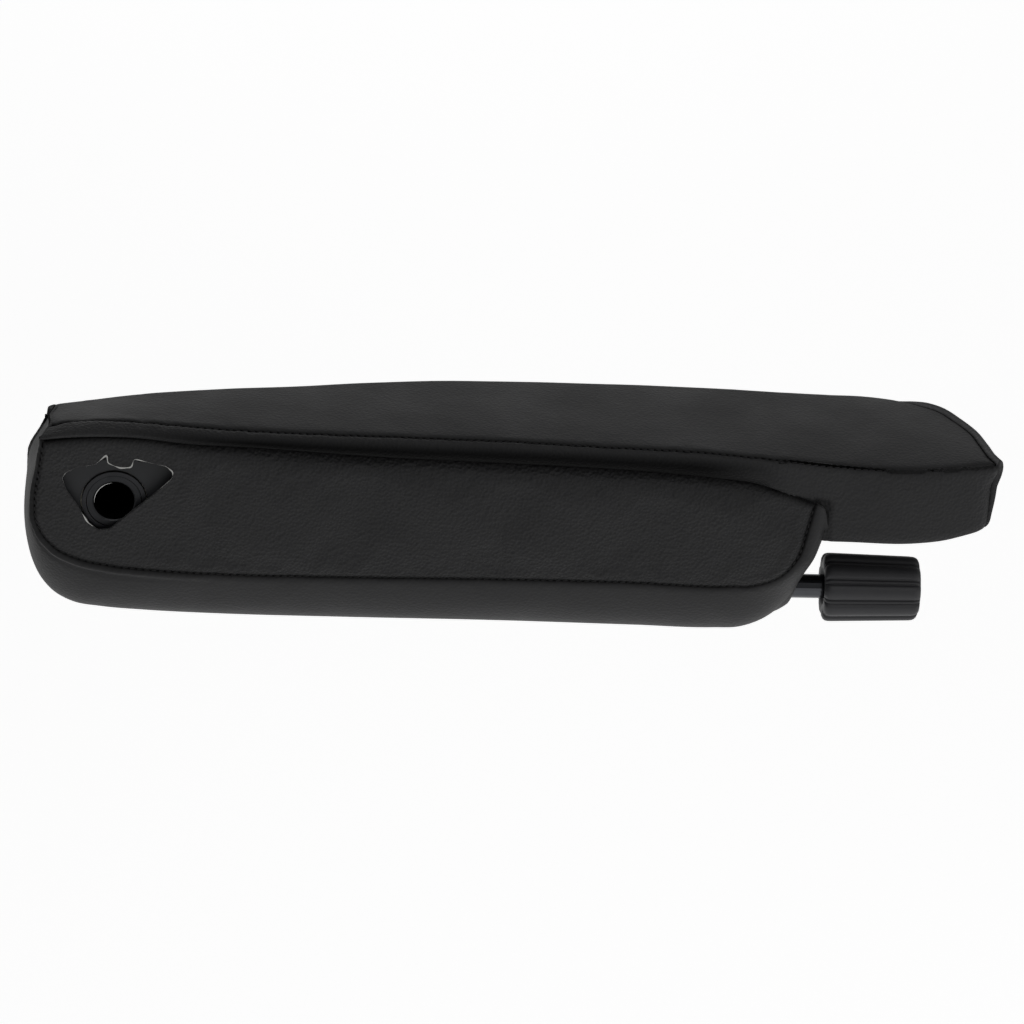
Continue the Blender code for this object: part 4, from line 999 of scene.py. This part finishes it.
class ArmrestSizes(bpy.types.PropertyGroup):
    cover_thickness: length("Cover thickness", 1.2, "Thickness of the vinyl")
    seam_depth: length("Seam depth", 1.0, "How deep the seams sink into the foam")
    stitch_pitch: length("Stitch pitch", 3.0, "Distance from one stitch to the next")
    thread_radius: length("Thread radius", 0.30, "Half the thickness of the sewing thread")
    settling: length("Settling", 0.9, "Furthest a cover may move as it settles")
    pad_crown: length("Pad crown", 0.9, "How far the top panel rises between its seams")
    side_crown: length("Side crown", 0.5, "How far the side panels swell")
    knob_lobes: IntProperty(
        name="Knob lobes", description="Number of lobes round the knob", default=9, min=6, max=16
    )
    knob_groove: length("Knob groove", 1.3, "Depth of the grooves between the lobes")


class ArmrestColours(bpy.types.PropertyGroup):
    vinyl: colour("Vinyl", "1b1b1c", "Black leathercloth")
    vinyl_worn: colour("Vinyl, paler", "202021", "The same where it is handled")
    thread: colour("Thread", "0c0c0d", "Sewing thread")
    backing: colour("Backing", "b9b9b6", "Knitted backing at the cut edge")
    knob: colour("Knob", "2b2b2d", "Moulded grip")


def sizes():
    return bpy.context.scene.armrest_sizes


def colours():
    return bpy.context.scene.armrest_colours


# Operators.


class ARMREST_OT_pad_cover(bpy.types.Operator):
    """Sews the pad's cover: top panel, band along both sides and round the nose, and underside"""

    bl_idname = "armrest.pad_cover"
    bl_label = "Pad cover"

    def execute(self, context):
        size = sizes()
        mat = pvc_leathercloth("embossed_pvc_leathercloth", 1.0)
        taut = pvc_leathercloth("embossed_pvc_leathercloth_taut", 0.45)
        strip, tip, painted_shade, painted_roll_highlight = pad_parts(size)
        rim = rim_strip()[0][0]
        rear = rim[(rim[:, 1] > -42.0) & (rim[:, 1] < -9.0)]
        rear = np.vstack([strip[:1, 0], rear, strip[-1:, 0]])
        points, faces, top_painted_shade = top_cover(size, strip, tip, rear)
        top = add_piece("top_cover", points, faces, top_painted_shade, taut, "armrest", (0, 0, 1))
        near = strip[: tip + 1]
        far = strip[tip:]
        near_band = add_piece(
            "near_band_cover", near.reshape(-1, 3), grid_faces(*near.shape[:2]),
            painted_shade[: tip + 1].reshape(-1), mat, "armrest", (0, -1, 0),
        )
        far_band = add_piece(
            "far_band_cover", far.reshape(-1, 3), grid_faces(*far.shape[:2]), painted_shade[tip:].reshape(-1),
            mat, "armrest", (0, 1, 0),
        )
        set_attribute(far_band.data, "painted_roll_highlight", painted_roll_highlight[tip:].reshape(-1))
        points, faces = underside_cover(strip)
        under = add_piece("underside_cover", points, faces, np.zeros(len(points)), mat, "armrest", (0, 0, -1))
        settle(top, top_painted_shade > 0.05, size.settling, 0.0)
        for piece, node in (
            (top, "top_panel"), (near_band, "near_band"), (far_band, "far_band"),
            (under, "pad_underside"),
        ):
            thicken(piece, size.cover_thickness)
            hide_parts(node)
        # On the far side the groove's outer bank falls away, so the threads lie deeper.
        up = np.tile([0.0, 0.0, 1.0], (len(strip), 1))
        up[tip:, 2] = -3.2
        remember("pad", strip[:, 0], up)
        return {"FINISHED"}


class ARMREST_OT_body_cover(bpy.types.Operator):
    """Sews the body's cover: both side panels with their openings, and the strip between them"""

    bl_idname = "armrest.body_cover"
    bl_label = "Body cover"

    def execute(self, context):
        size = sizes()
        taut = bpy.data.materials["embossed_pvc_leathercloth_taut"]
        slack = pvc_leathercloth("embossed_pvc_leathercloth_slack", 1.7)
        made = []
        for name, node, is_near, outward in (
            ("near_side_cover", "near_side_panel", True, (0, -1, 0)),
            ("far_side_cover", "far_side_panel", False, (0, 1, 0)),
        ):
            points, faces, painted_shade, edge = side_cover(size, is_near)
            piece = add_piece(name, points, faces, painted_shade, slack, "armrest", outward)
            made.append((piece, node))
            edge_row = np.hypot(points[:, 0], points[:, 2]) < 26
            settle(piece, (painted_shade > 0.05) | edge_row, 0.8 * size.settling, -0.006)
            if is_near:
                remember("cut_edge", edge, edge)
        strip, painted_shade, keep = rim_cover(size)
        faces = grid_faces(*strip.shape[:2])[keep]
        points = strip.reshape(-1, 3)
        rim = add_piece("rim_cover", points, faces, painted_shade.reshape(-1), taut, "armrest", (0, 0, -1))
        made.append((rim, "rim_gusset"))
        for piece, node in made:
            thicken(piece, size.cover_thickness)
            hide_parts(node)
        outward = np.tile([0.0, -1.0, 0.0], (len(strip), 1))
        remember("near_body", strip[:, 0], outward)
        remember("far_body", strip[:, -1], -outward)
        return {"FINISHED"}


LINES = {}


def remember(name, line, up):
    """Keeps a seam's line for the operators that sew or trim along it."""
    LINES[name] = (np.array(line), np.array(up))


class ARMREST_OT_seam_thread(bpy.types.Operator):
    """Lays the stitches along the pad's seam and both seams of the body"""

    bl_idname = "armrest.seam_thread"
    bl_label = "Seam thread"

    def execute(self, context):
        size = sizes()
        # Bonded polyester thread is waxed and nearly black, so each stitch shows as a dull dark dash.
        mat = grained_finish(
            "bonded_polyester_thread", colours().thread, linear("131314"), 0.25, 0.4,
            {"IOR": 1.5, "Specular IOR Level": 0.25}, (0.6, 0.75),
        )
        for name in ("pad", "near_body", "far_body"):
            line, up = LINES[name]
            points, faces = stitches(line, up, size.stitch_pitch / MM, 2.1, size.thread_radius / MM)
            piece = add_piece(name + "_stitches", points, faces, None, mat, "armrest")
        return {"FINISHED"}


class ARMREST_OT_cut_edge(bpy.types.Operator):
    """Trims the cut-out over the pivot with the pale knitted backing that shows at its raw edge"""

    bl_idname = "armrest.cut_edge"
    bl_label = "Cut edge"

    def execute(self, context):
        # The knit is a pale, fuzzy grey that catches the light along the raw edge.
        mat = grained_finish(
            "knitted_backing", colours().backing, linear("8a8a88"), 0.5, 0.7,
            {"IOR": 1.5, "Specular IOR Level": 0.2}, (0.8, 0.95),
        )
        edge, _ = LINES["cut_edge"]
        line = edge + np.array([0.0, 0.10, 0.0])
        corners = np.array(CUT_OUT)
        shown = np.array(BACKING_SHOWN)
        apart = np.hypot(line[:, None, 0] - corners[:, 0], line[:, None, 2] - corners[:, 1])
        near = 1 / (apart + 0.4) ** 3
        share = (near * shown).sum(1) / near.sum(1)
        share = share * ease(share, 0.15, 0.75)
        step = np.arange(len(line))
        fray = 0.62 + 0.38 * np.sin(step / 1.9) * np.sin(step / 5.3 + 1)
        radii = 0.004 + 0.36 * share * fray
        points, faces = bead(line, radii)
        piece = add_piece("cut_out_backing", points, faces, None, mat, "armrest")
        return {"FINISHED"}


COVERS = (
    "top_cover", "near_band_cover", "far_band_cover", "underside_cover", "near_side_cover",
    "far_side_cover", "rim_cover",
)


def cover_tree():
    """A search tree of every cover's outer surface."""
    points, faces = [], []
    for name in COVERS:
        mesh = bpy.data.objects[name].data
        first = len(points)
        points += [v.co.copy() for v in mesh.vertices]
        outer = len(mesh.polygons) // 2
        faces += [[first + i for i in p.vertices] for p in list(mesh.polygons)[:outer]]
    return bvhtree.BVHTree.FromPolygons(points, faces)


def keep_inside(piece, skin, gap):
    """Draws in every point of the padding that comes closer to a cover's outer face than the gap."""
    for _ in range(2):
        for vertex in piece.data.vertices:
            spot, normal, _index, away = skin.find_nearest(vertex.co, 12 * MM)
            if spot is None:
                continue
            depth = -(vertex.co - spot).dot(normal)
            if depth < gap:
                vertex.co = spot - normal * gap
    # Foam never bridges the fold between pad and body on the near side.
    place = np.array([v.co for v in piece.data.vertices]) / MM
    level = np.where(place[:, 0] < BODY_FRONT_X, read(NEAR_CREASE, place[:, 0]), 6.0)
    fold = np.exp(-(((place[:, 2] - level) / 4.5) ** 2))
    reach = 3.0 + (crease_depth(place[:, 0]) + 1.6 * ease(place[:, 0], 272, 286) + 1.6) * fold
    reach = reach * (1 - ease(place[:, 0], 292, 305))
    back = read([(-62, -14), (-50, -17), (-35, -26), (-14, -30), (8, -27), (20, -22), (32, -16)], place[:, 2])
    place[:, 0] = np.maximum(place[:, 0], back)
    # It also stays below the top panel, which is lower on the far side at the rear.
    near_top = long_edge(NEAR_SEAM, 2, place[:, 0])
    far_top = long_edge(FAR_LONG_EDGE, 2, place[:, 0])
    far_edge = long_edge(FAR_LONG_EDGE, 1, place[:, 0])
    share = np.clip((place[:, 1] + 44) / (far_edge + 44), 0, 1)
    roof = near_top + (far_top - near_top) * share - 3.0
    at_rear = place[:, 0] < 150
    place[:, 2] = np.where(at_rear, np.minimum(place[:, 2], roof), place[:, 2])
    place[:, 1] = np.where(at_rear, np.minimum(place[:, 1], far_edge - 2.6), place[:, 1])
    close = place[:, 1] < -40
    place[:, 1] = np.where(close, np.maximum(place[:, 1], NEAR_FACE_Y + reach), place[:, 1])
    piece.data.vertices.foreach_set("co", (place * MM).reshape(-1))
    piece.data.update()


class ARMREST_OT_bore_lip(bpy.types.Operator):
    """Puts a bright crescent on the inner edge of the bore: a painted highlight where the edge catches the
    light
    """

    bl_idname = "armrest.bore_lip"
    bl_label = "Bore edge painted highlight"

    def execute(self, context):
        # A painted highlight: a near-white steel crescent on the bore's edge.
        mat = grained_finish(
            "painted_highlight_steel", linear("d8d8d6"), linear("b5b5b3"), 0.3, 0.1, {"Metallic": 0.4}, (0.25, 0.35)
        )
        low, _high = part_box("hub_sleeve")
        angle = np.radians(np.linspace(96, 188, 48))
        line = np.column_stack([7.9 * np.cos(angle), np.full(48, low.y / MM + 0.45), 7.9 * np.sin(angle)])
        radii = 0.02 + 0.16 * np.sin(np.linspace(0, np.pi, 48)) ** 0.8
        points, faces = bead(line, radii)
        faces = faces[: -len(faces) // 48]
        piece = add_piece("worn_bore_edge", points, faces, None, mat, "hub")
        return {"FINISHED"}


class ARMREST_OT_padding(bpy.types.Operator):
    """Fills the covers with moulded foam"""

    bl_idname = "armrest.padding"
    bl_label = "Foam padding"

    def execute(self, context):
        # Cold-cured foam, straw yellow and dull, hidden unless a cover is lifted.
        mat = grained_finish(
            "moulded_polyurethane_foam", linear("a39a6e"), linear("8c8358"), 0.8, 0.8,
            {"IOR": 1.4, "Specular IOR Level": 0.15}, (0.9, 1.0),
        )
        skin = cover_tree()
        gap = sizes().cover_thickness + 2.2 * MM
        for node, name in (
            ("body_foam", "body_padding"), ("pad_foam", "pad_padding"), ("nose_foam", "nose_padding"),
        ):
            mesh = frame["nodes"][node].data.copy()
            mesh.name = name
            mesh.materials.clear()
            mesh.materials.append(mat)
            piece = bpy.data.objects.new(name, mesh)
            bpy.context.scene.collection.objects.link(piece)
            remesh = piece.modifiers.new("even mesh", "REMESH")
            remesh.mode = "VOXEL"
            remesh.voxel_size = 3.0 * MM
            apply_modifiers(piece)
            keep_inside(piece, skin, gap)
            piece.data.shade_smooth()
            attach(piece, "armrest")
            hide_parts(node)
        return {"FINISHED"}


class ARMREST_OT_tilt_knob(bpy.types.Operator):
    """Moulds the fluted knob on the tilt shaft"""

    bl_idname = "armrest.tilt_knob"
    bl_label = "Tilt knob"

    def execute(self, context):
        size = sizes()
        # Glass-filled nylon from a fine-eroded mould: charcoal, satin, with highlights along its lobes.
        mat = grained_finish(
            "moulded_glass_filled_nylon", colours().knob, linear("313133"), 0.45, 0.22,
            {"IOR": 1.5, "Specular IOR Level": 0.30}, (0.50, 0.58),
        )
        low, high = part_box("tilt_knob")
        points, faces = knob_shape(
            low.x / MM, high.x / MM, (14.5, 13.4), size.knob_lobes, size.knob_groove / MM
        )
        piece = add_piece("fluted_knob", points, faces, None, mat, "knob")
        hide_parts("tilt_knob")
        return {"FINISHED"}


def darken_bore(mat):
    """Paints the bore nearly black, from its mouth inwards, as painted shade."""
    tree = mat.node_tree
    shader = next(n for n in tree.nodes if n.type == "BSDF_PRINCIPLED")
    colour = shader.inputs["Base Color"].links[0].from_socket
    place = add_node(mat, "ShaderNodeTexCoord")
    axes = add_node(mat, "ShaderNodeSeparateXYZ", None, {"Vector": place.outputs["Object"]})
    x_squared = add_node(
        mat, "ShaderNodeMath", {"operation": "MULTIPLY"}, {0: axes.outputs["X"], 1: axes.outputs["X"]}
    )
    squared = add_node(
        mat, "ShaderNodeMath", {"operation": "MULTIPLY_ADD"},
        {0: axes.outputs["Z"], 1: axes.outputs["Z"], 2: x_squared.outputs["Value"]},
    )
    is_bore = add_node(
        mat, "ShaderNodeMath", {"operation": "LESS_THAN", 1: 0.0083**2}, {0: squared.outputs["Value"]}
    )
    # Painted shade: the bore's colour goes nearly black.
    painted_bore_shade = add_node(
        mat, "ShaderNodeMixRGB", {"Color2": (0.0008, 0.0008, 0.0008, 1.0)},
        {"Color1": colour, "Fac": is_bore.outputs["Value"]},
    )
    tree.links.new(painted_bore_shade.outputs["Color"], shader.inputs["Base Color"])
    # In the painted shade the bore also loses its metal and its shine.
    metal = add_node(
        mat, "ShaderNodeMapRange", {"To Min": 0.6, "To Max": 0.0}, {"Value": is_bore.outputs["Value"]},
    )
    tree.links.new(metal.outputs["Result"], shader.inputs["Metallic"])
    sheen = add_node(
        mat, "ShaderNodeMapRange", {"To Min": 0.4, "To Max": 0.0}, {"Value": is_bore.outputs["Value"]},
    )
    tree.links.new(sheen.outputs["Result"], shader.inputs["Specular IOR Level"])
    return mat


class ARMREST_OT_metalwork(bpy.types.Operator):
    """Finishes the frame, hub, spindle and their bushes"""

    bl_idname = "armrest.metalwork"
    bl_label = "Hub, frame and spindle"

    def execute(self, context):
        metal = {"Metallic": 1.0}
        phosphated = {"Metallic": 0.6}
        # Zinc plate is bright with a faint grey cloud, and phosphate is dull, dark and slightly grainy.
        # The moulded plastics have a spark-eroded skin: polypropylene almost black, nylon off-white.
        # Turned brass is warm and mostly smooth.
        finishes = {}
        for slot_name, name, tone, other, grain_mm, strength, settings, gloss in (
            ("zinc_steel", "zinc_plated_steel", "a9abad", "8f9193", 0.4, 0.12, metal, (0.22, 0.34)),
            ("black_steel", "phosphated_black_steel", "202124", "1a1a1c", 0.4, 0.25, phosphated, (0.40, 0.52)),
            (
                "shroud_plastic", "moulded_polypropylene", "1b1c1e", "212224", 0.5, 0.3,
                {"IOR": 1.49, "Specular IOR Level": 0.3}, (0.5, 0.6),
            ),
            ("nylon_natural", "natural_nylon", "c9c5b6", "bdb8a6", 0.5, 0.2, {"IOR": 1.53}, (0.35, 0.5)),
            ("brass", "turned_brass", "c9a25a", "b08b48", 0.35, 0.15, metal, (0.25, 0.38)),
        ):
            finishes[slot_name] = grained_finish(
                name, linear(tone), linear(other), grain_mm, strength, settings, gloss
            )
        for entry in frame["record"]["subparts"]:
            finish = finishes.get(entry["material_slot"])
            if finish is not None:
                for spot in frame["nodes"][entry["node"]].material_slots:
                    spot.material = finish
        # The hub's sleeve is phosphated too, and inside the bore it is painted nearly black, as painted shade.
        bore = grained_finish(
            "phosphated_hub_steel", linear("27282a"), linear("1f2022"), 0.4, 0.25, {}, (0.42, 0.55)
        )
        frame["nodes"]["hub_sleeve"].material_slots[0].material = darken_bore(bore)
        # Grinding leaves the spindle smooth under its black oxide, so it mirrors its surroundings darkly.
        spindle = grained_finish(
            "blackened_ground_steel", linear("4c4d50"), linear("424346"), 0.3, 0.05, metal, (0.15, 0.21)
        )
        frame["nodes"]["tilt_spindle"].material_slots[0].material = spindle
        return {"FINISHED"}


class ARMREST_OT_stage(bpy.types.Operator):
    """Sets the camera, a pale floor well below the armrest, and soft white light"""

    bl_idname = "armrest.stage"
    bl_label = "Stage"

    def execute(self, context):
        scene = context.scene
        scene.view_settings.view_transform = "Standard"
        self.add_camera(scene)
        self.add_floor(scene)
        self.add_light(scene)
        return {"FINISHED"}

    def add_camera(self, scene):
        azimuth, elevation, roll = (math.radians(a) for a in (-6.0, 24.0, 3.6))
        back = Vector(
            (
                math.sin(azimuth) * math.cos(elevation), -math.cos(azimuth) * math.cos(elevation),
                math.sin(elevation),
            )
        )
        right = (-back).cross(Vector((0, 0, 1))).normalized()
        up = right.cross(-back)
        turned_right = right * math.cos(roll) + up * math.sin(roll)
        turned_up = up * math.cos(roll) - right * math.sin(roll)
        target = Vector((0.163, -0.025, -0.008))
        place = target + back * 3.0 + turned_right * 0.0009 - turned_up * 0.0036
        data = bpy.data.cameras.new("camera")
        data.lens = 257.6
        data.sensor_width = 36.0
        camera = bpy.data.objects.new("camera", data)
        turn = Matrix((turned_right, turned_up, back)).transposed().to_4x4()
        camera.matrix_world = Matrix.Translation(place) @ turn
        scene.collection.objects.link(camera)
        scene.camera = camera

    def add_floor(self, scene):
        mesh = bpy.data.meshes.new("floor")
        half = 12.0
        level = -0.62
        corners = [(-half, -half, level), (half, -half, level), (half, half, level), (-half, half, level)]
        mesh.from_pydata(corners, [], [(0, 1, 2, 3)])
        mat = new_material("pale_floor")
        place = add_node(mat, "ShaderNodeTexCoord")
        cloudy = add_node(
            mat, "ShaderNodeTexNoise", {"Scale": per_metre(900.0), "Detail": 2.0},
            {"Vector": place.outputs["Object"]},
        )
        tone = add_node(
            mat, "ShaderNodeMixRGB",
            {"Color1": (0.93, 0.93, 0.93, 1.0), "Color2": (0.90, 0.90, 0.90, 1.0)},
            {"Fac": cloudy.outputs["Fac"]},
        )
        shader = add_node(
            mat, "ShaderNodeBsdfPrincipled",
            {"Roughness": 0.9, "Emission Color": (1.0, 1.0, 1.0, 1.0), "Emission Strength": 0.58},
            {"Base Color": tone.outputs["Color"]},
        )
        add_node(mat, "ShaderNodeOutputMaterial", None, {"Surface": shader.outputs["BSDF"]})
        mesh.materials.append(mat)
        floor = bpy.data.objects.new("floor", mesh)
        scene.collection.objects.link(floor)

    def add_light(self, scene):
        world = bpy.data.worlds.new("studio")
        world.use_nodes = True
        scene.world = world
        shade = world.node_tree.nodes["Background"]
        shade.inputs["Color"].default_value = (1.0, 1.0, 1.0, 1.0)
        shade.inputs["Strength"].default_value = 0.24
        for name, place, size, power in (
            ("softbox_above", (0.1, -1.2, 2.3), (1.6, 1.6), 6.0),
            ("softbox_behind", (0.3, 3.0, 1.3), (2.6, 2.6), 12.0),
            ("softbox_right", (2.4, -1.4, 0.7), (1.6, 1.6), 10.0),
            ("strip_above", (0.5, -1.15, 2.2), (1.5, 0.22), 9.0),
        ):
            data = bpy.data.lights.new(name, "AREA")
            data.shape = "RECTANGLE"
            data.size, data.size_y = size
            data.energy = power
            light = bpy.data.objects.new(name, data)
            light.location = place
            aim = Vector((0.16, -0.02, 0.0)) - Vector(place)
            light.rotation_euler = aim.to_track_quat("-Z", "Y").to_euler()
            scene.collection.objects.link(light)


STEPS = (
    ARMREST_OT_pad_cover, ARMREST_OT_body_cover, ARMREST_OT_seam_thread, ARMREST_OT_cut_edge,
    ARMREST_OT_padding, ARMREST_OT_tilt_knob, ARMREST_OT_metalwork, ARMREST_OT_bore_lip,
    ARMREST_OT_stage,
)


class ARMREST_PT_panel(bpy.types.Panel):
    """Lists the armrest's sizes, colours and making steps"""

    bl_idname = "ARMREST_PT_panel"
    bl_label = "Fold-up armrest"
    bl_space_type = "VIEW_3D"
    bl_region_type = "UI"
    bl_category = "Armrest"

    def draw(self, context):
        layout = self.layout
        for group in (context.scene.armrest_sizes, context.scene.armrest_colours):
            column = layout.column(align=True)
            for name in group.__annotations__:
                column.prop(group, name)
        for step in STEPS:
            layout.operator(step.bl_idname)


CLASSES = (ArmrestSizes, ArmrestColours) + STEPS + (ARMREST_PT_panel,)


def register():
    for cls in CLASSES:
        bpy.utils.register_class(cls)
    bpy.types.Scene.armrest_sizes = PointerProperty(type=ArmrestSizes)
    bpy.types.Scene.armrest_colours = PointerProperty(type=ArmrestColours)


def unregister():
    del bpy.types.Scene.armrest_colours
    del bpy.types.Scene.armrest_sizes
    for cls in reversed(CLASSES):
        bpy.utils.unregister_class(cls)


def main():
    register()
    bpy.ops.armrest.pad_cover()
    bpy.ops.armrest.body_cover()
    bpy.ops.armrest.seam_thread()
    bpy.ops.armrest.cut_edge()
    bpy.ops.armrest.padding()
    bpy.ops.armrest.tilt_knob()
    bpy.ops.armrest.metalwork()
    bpy.ops.armrest.bore_lip()
    bpy.ops.armrest.stage()


if __name__ == "__main__":
    main()
